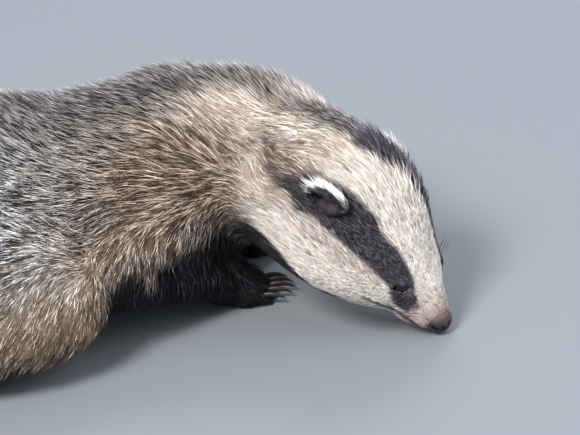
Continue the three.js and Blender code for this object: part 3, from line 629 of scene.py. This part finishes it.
def markings(p):
    """The coat's colours at each point: points, then root, band and tip, then channels."""
    x, z = p[:, 0], p[:, 2]
    q = head.local(p)
    behind = -q[:, 0]
    angle = head_angle(q) + 2.5 * waves(p, 26, 5)
    around = body_angle(p) + 5 * waves(p, 60, 6)
    coat = np.tile(ZONES["grizzled"], (len(p), 1, 1))

    def mark(zone, amount):
        coat[:] += (ZONES[zone] - coat) * np.clip(amount, 0, 1)[:, None, None]

    # Body: warm over the shoulder, buff on belly and thighs, dark along the far side of the spine:
    # partly the back's dark hair, partly painted shade
    mark("warm", eased(x, -170, -40) * eased(around, -40, 0) * 0.9)
    buff = faded(z + 6 * waves(p, 50, 12), 50, 104) * faded(x, -110, -60)
    mark("belly", buff)
    middle = p[:, 1] - body_at(p)[0]
    across = np.where(middle > 0, 180 - around, around)
    turn = RIDGE_TURN * eased(x, -20, 40)
    ridge = eased(across, 66 + turn, 84 + turn)
    mark("ridge", ridge * (1 - 0.8 * eased(across, 130, 165)))
    mark("ridge", 0.5 * eased(around, 34, 70) * faded(x, -20, 20))
    mark("tail", faded(x, -430, -385))

    # Neck: the pale crown runs back over the nape, and the cheek's cream to the shoulder
    skullward = skull.distance(p)
    near_head = faded(skullward, 14, 66)
    crown = np.exp(-(((middle + 24) / 24) ** 2)) * near_head * eased(behind, 110, 130)
    mark("neck", crown * 1.5)
    # Dark along the far side of the neck: partly dark hair, partly painted shade
    mark("ridge", eased(middle, 14, 28) * eased(x, 20, 50) * faded(middle, 50, 70))
    mark("neck", np.exp(-(((behind - 150) / 36) ** 2) - ((angle + 8) / 24) ** 2) * 1.2)
    mark("smear", np.exp(-(((behind - 158) / 26) ** 2) - ((angle - 20) / 12) ** 2) * 0.7)

    # Forelegs, throat and the underside: black
    legward = least(forearms, p)
    edge = np.interp(x, BLACK_EDGE_X, BLACK_EDGE_Z) + 4 * waves(p, 22, 7)
    front = faded(z, edge - 5, edge + 5) * eased(x, -112, -92)
    paw = faded(z + 3 * waves(p, 20, 8), 24, 36)
    under = faded(around, -84, -60)
    black = np.maximum.reduce([faded(legward, 4, 14), front, paw, under])
    on_head = faded(skullward, 6, 22) * faded(behind, 118, 146)
    mark("black", black * (1 - on_head))

    # Head: cream with a black stripe through each eye and ear, and a dark throat
    mark("face", on_head)
    mark("muzzle", faded(behind + 3 * waves(p, 12, 9), 12, 34) * on_head * 0.9)
    mark("muzzle", 0.3 * eased(waves(p, 16, 23), 0.3, 1.3) * on_head * faded(behind, 50, 90))
    low = np.interp(behind, STRIPE_BEHIND, STRIPE_LOW)
    high = np.interp(behind, STRIPE_BEHIND, STRIPE_HIGH)
    high = np.where(q[:, 1] > 0, np.interp(behind, FAR_BEHIND, FAR_HIGH), high)
    stripe = eased(angle, low - 3.5, low + 3.5) * faded(angle, high - 3.5, high + 3.5)
    stripe *= eased(behind, 18, 25) * faded(skullward, 18, 40)
    mark("stripe", stripe * (1 - 0.4 * eased(behind, 128, 150)) * faded(behind, 150, 170))
    jaw = np.interp(behind, JAW_BEHIND, JAW_ANGLE)
    mark("black", faded(angle, jaw - 4, jaw + 4) * eased(behind, 42, 60) * on_head)
    lips = faded(np.abs(mouth.local(p)[:, 2]), 1.0, 2.6) * faded(behind, 44, 50)
    mark("stripe", lips * on_head * 0.8)
    # A pale patch below and in front of each eye: the lid's skin, and partly a painted highlight on it
    for side, sign in SIDES.items():
        mark("lid", faded(norm(p - eyes[side].world([3, -4 * sign, -4])), 3.2, 6))
    mark("muzzle", 0.6 * np.exp(-(((angle - low + 7) / 6) ** 2)) * on_head * eased(behind, 40, 60))
    speck = eased(waves(p, 5, 21), 1.1 - 0.4 * faded(behind, 30, 60), 1.5)
    mark("stripe", 0.6 * speck * on_head * faded(behind, 90, 130))
    return coat


# How steeply the flank's coat points down, by degrees up from the side of the body
LIE_AROUND = [-60, -20, 0, 20, 45, 90]
LIE_DOWN = [1.3, 1.05, 0.55, 0.2, -0.1, -0.15]


def coat_lie(p, normal):
    """The way the coat lies: back along the head, body and tail, and down the legs."""
    around = body_angle(p)
    on_neck = eased(p[:, 0], -90, 40)
    down = np.interp(around, LIE_AROUND, LIE_DOWN) + 0.3 * faded(p[:, 0], -200, -80)
    down *= 1 - 0.8 * on_neck
    rise = 0.75 * on_neck * eased(around, -25, 30)
    wish = np.stack([-np.ones(len(p)), 0.55 * on_neck, rise - down], axis=1)
    on_tail = faded(p[:, 0], -410, -385)[:, None]
    wish = mixed(wish, np.array([-0.8, -0.1, -0.6]), on_tail)
    legward = least(foreshanks + hindshanks, p)
    on_leg = faded(legward, 0, 26)[:, None]
    wish = mixed(wish, np.array([-0.25, 0, -1]), on_leg)
    on_foot = faded(p[:, 2], 14, 30)[:, None]
    wish = mixed(wish, np.array([0.6, 0, -0.8]), on_foot)
    on_head = faded(skull.distance(p), -14, 22)[:, None]
    on_head *= 1 - eased(-head.local(p)[:, 0], 100, 140)[:, None]
    wish = mixed(wish, -head.axes[0], on_head)
    return unit(wish - normal * dots(wish, normal)[:, None])


def feed(target, inputs):
    """Sets a node's inputs: what is a socket is linked, and the rest are values."""
    for name, value in inputs.items():
        if isinstance(value, bpy.types.NodeSocket):
            target.id_data.links.new(value, target.inputs[name])
        else:
            target.inputs[name].default_value = value


def node(tree, kind, output, inputs, **values):
    """The output of a new node, with its settings and inputs."""
    made = tree.nodes.new(kind)
    for name, value in values.items():
        setattr(made, name, value)
    feed(made, inputs)
    return made.outputs[output]


def started(name, scale, detail):
    """A new material, its shader, and a place and fine noise for them."""
    material = bpy.data.materials.new(name)
    material.use_nodes = True
    tree = material.node_tree
    place = node(tree, "ShaderNodeTexCoord", "Object", {})
    inputs = {"Vector": place, "Scale": scale, "Detail": detail}
    noise = node(tree, "ShaderNodeTexNoise", "Fac", inputs)
    return material, tree, tree.nodes["Principled BSDF"], place, noise


def add_bumps(tree, shader, height, strength, distance):
    inputs = {"Strength": strength, "Distance": distance, "Height": height}
    feed(shader, {"Normal": node(tree, "ShaderNodeBump", "Normal", inputs)})


def coat_material(name, roughness, grain, spread, sheen=0.0, bump=0.0):
    """A finish whose colour is the piece's tint, varied by fine noise."""
    material, tree, shader, _, noise = started(name, grain, 4)
    tint = node(tree, "ShaderNodeAttribute", "Color", {}, attribute_name="tint")
    inputs = {"Value": noise, "To Min": 1 - spread, "To Max": 1 + spread}
    varied = node(tree, "ShaderNodeMapRange", "Result", inputs)
    inputs = {"Factor": 1, "A": tint, "B": varied}
    mix = node(tree, "ShaderNodeMix", "Result", inputs, data_type="RGBA", blend_type="MULTIPLY")
    feed(shader, {"Base Color": mix, "Roughness": roughness})
    feed(shader, {"Sheen Weight": sheen, "Specular IOR Level": 0.35})
    if bump:
        add_bumps(tree, shader, noise, bump, 0.001)
    return material


def smooth_material(name, colour, other, roughness, scale, bump=0.0):
    """A hard or wet finish: two colours mixed by noise, with grain in the surface."""
    material, tree, shader, place, noise = started(name, scale, 5)
    inputs = {"Factor": noise, "A": (*colour, 1), "B": (*other, 1)}
    mix = node(tree, "ShaderNodeMix", "Result", inputs, data_type="RGBA")
    feed(shader, {"Base Color": mix, "Roughness": roughness})
    if bump:
        inputs = {"Vector": place, "Scale": scale * 1.5}
        add_bumps(tree, shader, node(tree, "ShaderNodeTexVoronoi", "Distance", inputs), bump, 0.0006)
    return material


hair = coat_material("coat_hair", 0.46, 90, 0.22, sheen=0.04)
glossy_hair = coat_material("coat_leg_hair", 0.36, 120, 0.2)
short_hair = coat_material("coat_face_hair", 0.48, 160, 0.16)
hide = coat_material("badger_skin", 0.75, 700, 0.35, bump=0.5)
leather = coat_material("nose_leather", 0.42, 900, 0.4, bump=0.8)
horn = smooth_material("claw_horn", linear(52, 42, 39), linear(26, 22, 22), 0.5, 260, 0.2)
wet = smooth_material("eye_wet", linear(18, 12, 9), linear(6, 5, 5), 0.1, 300)
floor_pale = smooth_material("floor_pale", (0.19, 0.212, 0.234), (0.181, 0.202, 0.224), 0.9, 2)

# The skin in regions: the whole animal, and finer surfaces for the head and each foot
BODY_BOX = [[-560, -175, -8], [170, 190, 200]]
HEAD_BOX = [[24, -196, -4], [168, -34, 178]]
FOOT_X = (-50, 44)
FOOT_Y = (-30, 30)
FOOT_Z = (-4, 40)
BODY_STEP = 3.6
HEAD_STEP = 1.5
FOOT_STEP = 2.0
regions = [(trunk_skin, BODY_BOX, BODY_STEP), (head_skin, HEAD_BOX, HEAD_STEP)]
for foot in feet.values():
    corners = foot.place.world([[x, y, 0] for x in FOOT_X for y in FOOT_Y])
    box = [[*(corners.min(0)[:2]), FOOT_Z[0]], [*(corners.max(0)[:2]), FOOT_Z[1]]]
    regions.append((trunk_skin, box, FOOT_STEP))


def boxed(p, box, margin=0.0):
    return within(p, np.array(box[0]) - margin, np.array(box[1]) + margin)


parts = []
count = 0
for i, (field, box, step) in enumerate(regions):
    margin = 3 * step
    grid = Grid(field, np.array(box[0]) - margin, np.array(box[1]) + margin, step)
    points, quads = grid.surface()
    points, normals = settled(field, points)
    middle = points[quads].mean(axis=1)
    if i == 0:
        body_grid = grid
        keep = ~np.any([boxed(middle, other[1]) for other in regions[1:]], axis=0)
    else:
        keep = boxed(middle, box, 1.0)
    quads = quads[keep]
    used, quads = np.unique(quads, return_inverse=True)
    parts.append((points[used], normals[used], quads.reshape(-1, 4) + count))
    count += len(used)
points = np.vstack([part[0] for part in parts])
normals = np.vstack([part[1] for part in parts])
quads = np.vstack([part[2] for part in parts])

# The skin takes the coat's mean colour darkened as painted shade under the hair, and darker still in the
# ears as painted shade in their hollows
SKIN_PAINTED_SHADE = 0.6
EAR_PAINTED_SHADE = 0.15
in_ear = np.max([ball(ear, points, EAR_SIZE + 2) < 0 for ear in ears.values()], axis=0)
painted_shade = np.where(in_ear, EAR_PAINTED_SHADE, SKIN_PAINTED_SHADE)[:, None]
skin = make_mesh("skin", points, quads, hide, tint=markings(points).mean(axis=1) * painted_shade)
skin.data.uv_layers.new(name="OFBake")
bpy.context.view_layer.objects.active = skin
skin.select_set(True)
bpy.ops.object.mode_set(mode="EDIT")
bpy.ops.mesh.select_all(action="SELECT")
bpy.ops.uv.smart_project(angle_limit=1.2, island_margin=0.002)
bpy.ops.object.mode_set(mode="OBJECT")
skin_uv = np.zeros(quads.size * 2, np.float32)
skin.data.uv_layers["OFBake"].data.foreach_get("uv", skin_uv)
skin_uv = skin_uv.reshape(-1, 4, 2)
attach(skin, "root")
FLESH = [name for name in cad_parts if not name.startswith(("claw", "eye", "nose"))]
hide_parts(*FLESH)

# Where tufts may grow: the skin's triangles
triangles = np.vstack([quads[:, [0, 1, 2]], quads[:, [0, 2, 3]]])
triangle_uv = np.vstack([skin_uv[:, [0, 1, 2]], skin_uv[:, [0, 2, 3]]])
corners = points[triangles]
spans = corners[:, 1:] - corners[:, :1]
areas = norm(np.cross(spans[:, 0], spans[:, 1])) / 2
centres = corners.mean(axis=1)
centre_normals = unit(normals[triangles].mean(axis=1))


def roots_for(count, weight):
    """Random places on the skin, as many to each triangle as its area and weight give."""
    count = int(count * share)
    total = np.cumsum(areas * weight)
    pick = np.searchsorted(total, random.random(count) * total[-1])
    a, b = random.random(count), random.random(count)
    flip = a + b > 1
    a, b = np.where(flip, 1 - a, a), np.where(flip, 1 - b, b)
    spread = np.stack([1 - a - b, a, b], axis=1)[:, :, None]
    return (
        (corners[pick] * spread).sum(axis=1),
        unit((normals[triangles[pick]] * spread).sum(axis=1)),
        (triangle_uv[pick] * spread).sum(axis=1),
    )


def tube_quads(rings, around):
    """Quads between rings of points, each ring having as many points as the one before."""
    quads = []
    for i in range(rings - 1):
        for j in range(around):
            a, b = i * around + j, i * around + (j + 1) % around
            quads.append([a, b, b + around, a + around])
    return np.array(quads)


# A tuft's points lie at these shares of its length; the last is its tip
STATIONS = [0, 0.55, 1]
TUFT_SIDES = 3
ROOT_DEPTH = 0.8
CLUMPING = 0.5
MOST_LIFT = 6
LOWEST = 0.4


def grow(p, normal, length, height, turn, clump):
    """The middle lines of tufts that leave the skin at p and stay at a given height over it."""
    way = coat_lie(p, normal)
    way = unit(way + np.cross(normal, way) * turn[:, None])
    cell = np.floor(p / clump + 0.35 * np.stack([waves(p, clump * 5, 30 + k) for k in range(3)], axis=1))
    _, group = np.unique(cell, axis=0, return_inverse=True)
    group = group.ravel()
    members = np.bincount(group)
    middle = np.stack([np.bincount(group, p[:, k]) / members for k in range(3)], axis=1)[group]
    pull = middle - p
    pull -= normal * dots(pull, normal)[:, None]
    lines = [p - normal * ROOT_DEPTH]
    spot = p
    for before, t in zip(STATIONS, STATIONS[1:]):
        spot = spot + way * (length * (t - before))[:, None]
        value, up = body_grid.at(spot)
        hanging = eased(-up[:, 2], 0, 0.4)
        lift = np.clip(height * t**0.8 - value, -MOST_LIFT * (1 - hanging), MOST_LIFT)
        spot = spot + up * lift[:, None]
        way = unit(way - up * (dots(way, up) * 0.9)[:, None])
        lines.append(spot + pull * (CLUMPING * t * t))
    lines = np.stack(lines, axis=1)
    lines[:, :, 2] = np.maximum(lines[:, :, 2], LOWEST)
    return lines, group


def tuft_arrays(lines, widths, normal):
    """Points and triangles of tapered solids round middle lines."""
    count, rows = lines.shape[:2]
    along = unit(lines[:, 1:] - lines[:, :-1])
    along = np.concatenate([along[:, :1], along], axis=1)
    side = unit(np.cross(normal[:, None], along))
    up = np.cross(along, side)
    points = []
    for r in range(rows - 1):
        for s in range(TUFT_SIDES):
            turn = 2 * math.pi * s / TUFT_SIDES + math.pi / 2
            across = side[:, r] * math.cos(turn) + up[:, r] * math.sin(turn) * 0.7
            points.append(lines[:, r] + across * widths[:, r : r + 1])
    points.append(lines[:, -1])
    points = np.stack(points, axis=1)
    last = (rows - 1) * TUFT_SIDES
    sides = tube_quads(rows - 1, TUFT_SIDES)
    base = last - TUFT_SIDES + np.arange(TUFT_SIDES)
    tip = np.stack([base, np.roll(base, -1), np.full(TUFT_SIDES, last)], axis=1)
    faces = np.vstack([sides[:, :3], sides[:, [0, 2, 3]], tip])
    numbers = (np.arange(count) * (last + 1))[:, None, None] + faces[None]
    return points.reshape(-1, 3), numbers.reshape(-1, 3)


MOST_TRIANGLES = 195000
PATCH = 0.003


def tapered(thick):
    """Half widths of tufts at each of their stations before the tip."""
    return np.stack([thick * (1 - 0.5 * t**2) for t in STATIONS[:-1]], axis=1) / math.sqrt(share)


def coat(name, slot, material, p, normal, uv, lines, widths, tone, marks):
    """Mesh pieces of tufts, split so that none is too large."""
    colours = marks * tone[:, None, None]
    order = np.argsort(p[:, 0], kind="stable")
    rows = lines.shape[1]
    each = TUFT_SIDES * (2 * rows - 3)
    pieces = math.ceil(each * len(p) / MOST_TRIANGLES)
    for i, pick in enumerate(np.array_split(order, pieces)):
        points, faces = tuft_arrays(lines[pick], widths[pick], normal[pick])
        ring = np.append(np.repeat(np.arange(rows - 1), TUFT_SIDES), rows - 1)
        around = np.append(np.tile(np.arange(TUFT_SIDES), rows - 1), (TUFT_SIDES - 1) / 2)
        offset = np.stack([ring / (rows - 1), around / (TUFT_SIDES - 1)], axis=1) - 0.5
        point_uv = (uv[pick][:, None] + offset[None] * PATCH).reshape(-1, 2)
        tint = colours[pick][:, ring].reshape(-1, 3)
        title = name if pieces == 1 else f"{name}_{i + 1}"
        piece = make_mesh(title, points, faces, material, np.clip(point_uv[faces], 0, 1), tint)
        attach(piece, "root")


def in_cup_at(ear, p):
    return (ear_hollow(ear, p, 10, 2) < 0) * 1.0


# Tufts in each part of the coat, and the size of their clumps in millimetres
BODY_TUFTS = 100000
HEAD_TUFTS = 38000
LEG_TUFTS = 20000
EAR_TUFTS = 3400
BODY_CLUMP = 4.5
HEAD_CLUMP = 2.4
LEG_CLUMP = 5
# Hair lengths: the body's least and its gain by depth, and the others' short and long
BODY_HAIR = 13
DEPTH_HAIR = 0.36
HEAD_HAIR = (3.6, 11)
LEG_HAIR = (9, 18)
EAR_HAIR = (3, 5.5)

share = 1.0
depth = coat_depth(centres)
behind = -head.local(centres)[:, 0]
on_head = (skull.distance(centres) < 7) & (behind < 134)
bare = (from_eyes(centres) < EYE_RADIUS + 1.2) | (ball(nose_place, centres, NOSE_SIZE) < 0.6)
bare |= centres[:, 2] < 2.5
zone = {side: ball(ear, centres, EAR_SIZE + 2.5) < 0 for side, ear in ears.items()}
on_ear = zone["right"] | zone["left"]
hindward = least(hindshanks, centres)
hind = least([legs["hindleg_right"], legs["hindleg_left"]], centres)
on_thigh = faded(hind, 2, 16) * eased(hindward, 0, 16) * eased(centres[:, 2], 26, 38)
edge = np.interp(centres[:, 0], BLACK_EDGE_X, BLACK_EDGE_Z)
on_elbow = eased(centres[:, 2], edge - 6, edge + 2) * (centres[:, 0] > -130) * ~on_head

# Long coat of the body, neck, thighs and tail
STRAND = 1.8
hair_weight = np.maximum.reduce([eased(depth, 3, 9), on_thigh, on_elbow])
weight = hair_weight * ~bare * (1 - eased(skull.distance(centres), 30, 0) * on_head)
weight *= 1 - 0.6 * eased(-centre_normals[:, 2], 0.2, 0.8)
p, normal, uv = roots_for(BODY_TUFTS, weight)
count = len(p)
full = coat_depth(p)
around = body_angle(p)
bristle = random.random(count)
length = (BODY_HAIR + DEPTH_HAIR * full) * uniform(0.7, 1.2, count)
height = (0.6 * full + 3) * (0.35 + 0.6 * bristle)
raised = (random.random(count) < 0.3) & (around > 40)
height += np.where(raised, uniform(2, 10, count) * eased(full, 1, 8), 0)
turn = 0.2 * waves(p, 80, 11) + 0.16 * waves(p, 26, 12) + random.normal(0, 0.15, count)
lines, group = grow(p, normal, length, height, turn, BODY_CLUMP)
marks = markings(p)
tone = uniform(0.86, 1.12, group.max() + 1)[group] * uniform(0.55, 1.25, count)
strand = np.unique(np.floor(p / STRAND), axis=0, return_inverse=True)[1].ravel()
kind = random.random(strand.max() + 1)[strand] * 0.75 + random.random(count) * 0.25
on_crown = faded(np.abs(p[:, 1] - body_at(p)[0]), 10, 34) * (p[:, 0] > 30)
dark_share = 0.42 + 0.14 * eased(around, 35, 75) - 0.18 * on_crown
all_dark = (kind < dark_share)[:, None, None]
all_pale = (kind > 0.68)[:, None, None]
marks = np.where(all_dark, marks[:, 1:2] * 0.8, np.where(all_pale, marks[:, 2:3], marks))
silver = raised & (random.random(count) < 0.6)
marks[silver, 2] = WHITE
thick = uniform(0.22, 0.38, count)
coat("coat", "body_fur", hair, p, normal, uv, lines, tapered(thick), tone, marks)

# Short coat of the head
weight = on_head * ~bare * ~on_ear * (1 + 1.2 * faded(behind, 50, 100))
p, normal, uv = roots_for(HEAD_TUFTS, weight)
count = len(p)
q = head.local(p)
back, angle = -q[:, 0], head_angle(q)
length = mixed(*HEAD_HAIR, eased(back, 24, 120)) * uniform(0.75, 1.2, count)
length *= mixed(0.5, 1, eased(back, 6, 22)) * mixed(1.4, 1, eased(angle, -60, -10))
height = mixed(0.5, 2.6, eased(back, 28, 110)) * uniform(0.5, 1.3, count)
crest = eased(q[:, 1], -4, 12) * eased(back, 50, 100) * eased(angle, 30, 50)
ruff = eased(back, 90, 128) * faded(angle, 0, 24)
length *= 1 + 0.8 * crest + 1.1 * ruff
height += crest * (1.5 + 11 * random.random(count) ** 3) + 3.5 * ruff * random.random(count)
turn = 0.14 * waves(p, 40, 13) + random.normal(0, 0.12, count)
lines, group = grow(p, normal, length, height, turn, HEAD_CLUMP)
tone = uniform(0.86, 1.08, group.max() + 1)[group] * uniform(0.5, 1.2, count)
thick = mixed(0.17, 0.28, eased(back, 20, 100)) * uniform(0.8, 1.2, count)
marks = markings(p)
# Some tufts take their tip colour brightened all along: painted glints on the hair
painted_glint = (random.random(count) < 0.17)[:, None, None]
marks = np.where(painted_glint, marks[:, 2:3] * 1.3, marks)
fleck = (random.random(count) < 0.07 * eased(back, 30, 70))[:, None, None]
marks = np.where(fleck, marks * 0.3, marks)
marks = np.minimum(marks, 0.97)
coat("coat_head", "face_fur", short_hair, p, normal, uv, lines, tapered(thick), tone, marks)

# Glossy short coat of the forelegs and feet
weight = (1 - hair_weight) * ~bare * ~on_head * (1 + eased(-centres[:, 2], -40, -15))
p, normal, uv = roots_for(LEG_TUFTS, weight)
count = len(p)
length = mixed(*LEG_HAIR, eased(p[:, 2], 10, 40)) * uniform(0.75, 1.25, count)
height = mixed(1.2, 5.5, eased(p[:, 2], 8, 44)) * uniform(0.3, 1.4, count)
turn = 0.2 * waves(p, 40, 14) + random.normal(0, 0.16, count)
lines, group = grow(p, normal, length, height, turn, LEG_CLUMP)
tone = uniform(0.7, 1.5, count)
thick = mixed(0.22, 0.4, eased(p[:, 2], 8, 50)) * uniform(0.8, 1.2, count)
marks = markings(p)
# Some tufts take their tip colour brightened all along: painted glints on the black hair
painted_glint = (random.random(count) < 0.14)[:, None, None]
marks = np.where(painted_glint, np.minimum(marks[:, 2:3] * 3, 0.6), marks)
coat("coat_legs", "leg_fur", glossy_hair, p, normal, uv, lines, tapered(thick), tone, marks)

# Ears: short black hair, and a white brush on the upper rim: its length and how far it stands out
BRUSH = {"right": (3.6, 0.15), "left": (4.6, 0.4)}
for side, ear in ears.items():
    brush, outwards = BRUSH[side]
    weight = zone[side] * ~bare * (1 + 2 * in_cup_at(ear, centres))
    p, normal, uv = roots_for(EAR_TUFTS, weight)
    count = len(p)
    q = ear.local(p)
    radius = np.hypot(q[:, 1] / EAR_SIZE[1], q[:, 2] / EAR_SIZE[2])
    rim = eased(radius + 0.05 * waves(p, 7, 26), 0.82, 0.95) * eased(q[:, 0], -4, -1)
    rim *= eased(q[:, 2] + 2 * waves(p, 9, 24), -4, 1)
    outward = unit(q * [0, 0.8, 1]) @ ear.axes
    inside = in_cup_at(ear, p)
    along = np.array([-0.88, 0.32 * SIDES[side], -0.36]) @ head.axes
    way = unit(outward * outwards + along + normal * 0.2 + random.normal(0, 0.16, (count, 3)))
    wisp = 1 + 1.2 * rim * (random.random(count) < 0.2 + 0.4 * eased(waves(p, 6, 27), 0, 1))
    length = mixed(mixed(*EAR_HAIR, inside), brush, rim) * uniform(0.6, 1.3, count) * wisp
    bend = head.axes[0] * (length * 0.25)[:, None]
    lines = np.stack([p + way * (length * t)[:, None] - bend * (t * t) for t in STATIONS], axis=1)
    marks = np.tile(ZONES["stripe"], (count, 1, 1))
    pit = norm(q - EAR_PIT * MIRROR[side])
    marks += (ZONES["smear"] - marks) * (0.12 * inside * eased(pit, 6, 11))[:, None, None]
    marks += (WHITE - marks) * (rim * (1 - inside))[:, None, None]
    tone = uniform(0.82, 1.1, count)
    thick = uniform(0.18, 0.28, count)
    coat("ear_hair_" + side, "ear_fur", short_hair, p, normal, uv, lines, tapered(thick), tone, marks)

# Nose: a pad with a groove, two nostrils and their slits
NOSE_BOX = 15
NOSE_STEP = 0.7
GROOVE_DEPTH = 0.7
GROOVE_WIDTH = 0.8


def nose_pad_core(p):
    groove = np.abs(head.local(p)[:, 1])
    return ball(nose_place, p, NOSE_SIZE) + GROOVE_DEPTH * np.exp(-((groove / GROOVE_WIDTH) ** 2))


def nose_pad(p):
    d = nose_pad_core(p)
    for sign in SIDES.values():
        for place, size in NOSTRILS:
            d = np.maximum(d, -ball(head, p, size, np.array(place) * [1, sign, 1]))
    return d


grid = Grid(nose_pad, nose_place.origin - NOSE_BOX, nose_place.origin + NOSE_BOX, NOSE_STEP)
p, faces = grid.surface()
p, _ = settled(nose_pad, p, reach=0.5)
q = nose_place.local(p)
upper = eased(q[:, 2] - 0.8 * q[:, 0] + waves(p, 6, 25), 1, 11)[:, None]
# Inside the nostrils the colour is darkened: painted shade in the hollows
inner = (nose_pad_core(p) < -0.5)[:, None]
tint = mixed(linear(44, 38, 40), linear(96, 80, 80), upper)
tint = np.where(inner, tint * 0.3, tint)
nose = make_mesh("nose_pad", p, faces, leather, tint=tint)
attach(nose, "root")
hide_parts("nose")

# Eyes: a ball with a low cornea
EYE_RINGS = 25
EYE_SIDES = 32
CORNEA_RISE = 0.05
CORNEA_REACH = 0.55
turns = np.arange(EYE_SIDES) * 2 * math.pi / EYE_SIDES
for side, eye in eyes.items():
    rings = []
    for a in np.linspace(math.pi, 0, EYE_RINGS):
        r = EYE_RADIUS * (1 + CORNEA_RISE * math.exp(-((a / CORNEA_REACH) ** 2)))
        wide = max(r * math.sin(a), 0.01)
        rings.extend([[r * math.cos(a), wide * math.cos(turn), wide * math.sin(turn)] for turn in turns])
    piece = make_mesh("eyeball_" + side, eye.world(rings), tube_quads(EYE_RINGS, EYE_SIDES), wet)
    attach(piece, "root")
    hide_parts("eye_" + side)

# Claws: curved, deeper than wide, blunt at the tip, with the root sunk in the toe
CLAW_RINGS = 15
CLAW_SIDES = 14
CLAW_SUNK = 5
CLAW_WIDTH = 0.1
CLAW_HEIGHT = 0.15
CLAW_BEND = (12, -46)
CLAW_TIP = 0.03


def claw_points(place, size):
    """Rings of points of one claw, from its root to its tip."""
    x, z = -CLAW_SUNK, 0.0
    points = []
    stride = (size + CLAW_SUNK) / (CLAW_RINGS - 1)
    for ring in range(CLAW_RINGS):
        t = ring / (CLAW_RINGS - 1)
        bend = math.radians(mixed(*CLAW_BEND, t))
        full = max(1 - t**2.4, CLAW_TIP)
        for s in range(CLAW_SIDES):
            turn = s / CLAW_SIDES * 2 * math.pi
            wide = size * CLAW_WIDTH * full * math.cos(turn)
            tall = size * CLAW_HEIGHT * full * math.sin(turn)
            points.append([x - tall * math.sin(bend), wide, z + tall * math.cos(bend)])
        x += stride * math.cos(bend)
        z += stride * math.sin(bend)
    return np.maximum(place.world(points), [-FAR, -FAR, 0.3])


for paw, foot in feet.items():
    points = np.vstack([claw_points(*claw) for claw in foot.claws])
    one = tube_quads(CLAW_RINGS, CLAW_SIDES)
    faces = np.vstack([one + i * CLAW_RINGS * CLAW_SIDES for i in range(TOE_COUNT)])
    piece = make_mesh("claws_" + paw, points, faces, horn)
    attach(piece, "root")
    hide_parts(*[f"claw_{paw}_{i + 1}" for i in range(TOE_COUNT)])

# Whiskers: thin curved bristles on the lips and over the eyes
LIP_WHISKERS = 16
BROW_WHISKERS = 4
LIP_REACH = {"right": (12, 20), "left": (18, 30)}
BROW_REACH = (10, 18)
bristles = []
for side, sign in SIDES.items():
    for i in range(LIP_WHISKERS):
        row, column = divmod(i, 4)
        start = head.world([-18 - 4 * column, sign * (14 + 1.8 * column), -9 - 3 * row])
        way = unit(np.array([-0.3 - 0.2 * column, sign * 0.8, -0.25 - 0.1 * row]) @ head.axes)
        reach = uniform(*LIP_REACH[side])
        bristles.append([start, way * reach, -head.axes[0] * reach * uniform(0.2, 0.4)])
    for i in range(BROW_WHISKERS):
        start = eyes[side].world([1, -4 + 2.6 * i, 8])
        way = unit(np.array([-0.1, sign * 0.4, 1.0]) @ head.axes + random.normal(0, 0.1, 3))
        reach = uniform(*BROW_REACH)
        bristles.append([start, way * reach, -head.axes[0] * reach * 0.4])
p, way, bend = np.array(bristles).transpose(1, 0, 2)
lines = np.stack([p + way * t + bend * t * t for t in STATIONS], axis=1)
lines[:, :, 2] = np.maximum(lines[:, :, 2], LOWEST + 0.1)
count = len(lines)
widths = np.tile([0.2, 0.15], (count, 1))
p = lines[:, 0]
normal = unit(np.cross(lines[:, 1] - p, np.array([0.1, 0.2, 1.0])))
marks = np.tile(DARK * 0.6, (count, 3, 1))
nearest = [np.argmin(norm(centres - start)) for start in p]
uv = triangle_uv[nearest].mean(axis=1)
coat("whiskers", "face_fur", short_hair, p, normal, uv, lines, widths, np.ones(count), marks)

# Floor, light and camera, in metres
FLOOR_SPAN = 6.0
SKY_COLOUR = (0.86, 0.9, 1.0, 1)
SKY_STRENGTH = 0.66
# Each lamp's place, aim, power, size and colour
LAMPS = {
    "key": ((-0.9, -1.6, 2.4), (0, 0, 0.1), 124, 1.0, (1.0, 0.97, 0.94)),
    "fill": ((1.9, -1.2, 1.3), (0.2, 0, 0.1), 34, 1.6, (0.93, 0.96, 1.0)),
    "rim": ((0.6, 1.9, 1.9), (0, 0, 0.1), 46, 1.2, (0.95, 0.97, 1.0)),
}
RIGHT = np.array([0.9848, -0.0734, -0.1574])
UP = np.array([0.1736, 0.4162, 0.8925])
BACK = np.array([0, -0.9063, 0.4226])
AIM = np.array([0.09, -0.09, 0.08]) - 0.05101 * RIGHT - 0.01269 * UP
DISTANCE = 2.4
FOCAL_PIXELS = 3432
IMAGE_WIDTH = 580


def placed(name, data, at, right, up, back):
    """An object that looks away from back, such as a lamp or a camera."""
    made = bpy.data.objects.new(name, data)
    scene.collection.objects.link(made)
    made.matrix_world = Matrix.LocRotScale(at, Matrix([right, up, back]).transposed(), None)
    return made


ground = bpy.data.meshes.new("floor")
corners = [(-1, -1), (1, -1), (1, 1), (-1, 1)]
ground.from_pydata([(x * FLOOR_SPAN, y * FLOOR_SPAN, 0) for x, y in corners], [], [(0, 1, 2, 3)])
ground.materials.append(floor_pale)
floor = bpy.data.objects.new("floor", ground)
scene.collection.objects.link(floor)

scene.view_settings.view_transform = "Standard"
world = bpy.data.worlds.new("studio")
scene.world = world
world.use_nodes = True
feed(world.node_tree.nodes["Background"], {"Color": SKY_COLOUR, "Strength": SKY_STRENGTH})

for name, (at, target, power, size, colour) in LAMPS.items():
    light = bpy.data.lights.new(name, "AREA")
    light.energy = power
    light.size = size
    light.color = colour
    away = unit(np.subtract(at, target))
    side = unit(np.cross([0, 0, 1], away))
    placed(name, light, at, side, np.cross(away, side), away)

lens = bpy.data.cameras.new("camera")
lens.sensor_width = 36
lens.lens = FOCAL_PIXELS / IMAGE_WIDTH * lens.sensor_width
aim = AIM + SHIFT / 1000
scene.camera = placed("camera", lens, aim + DISTANCE * BACK, RIGHT, UP, BACK)
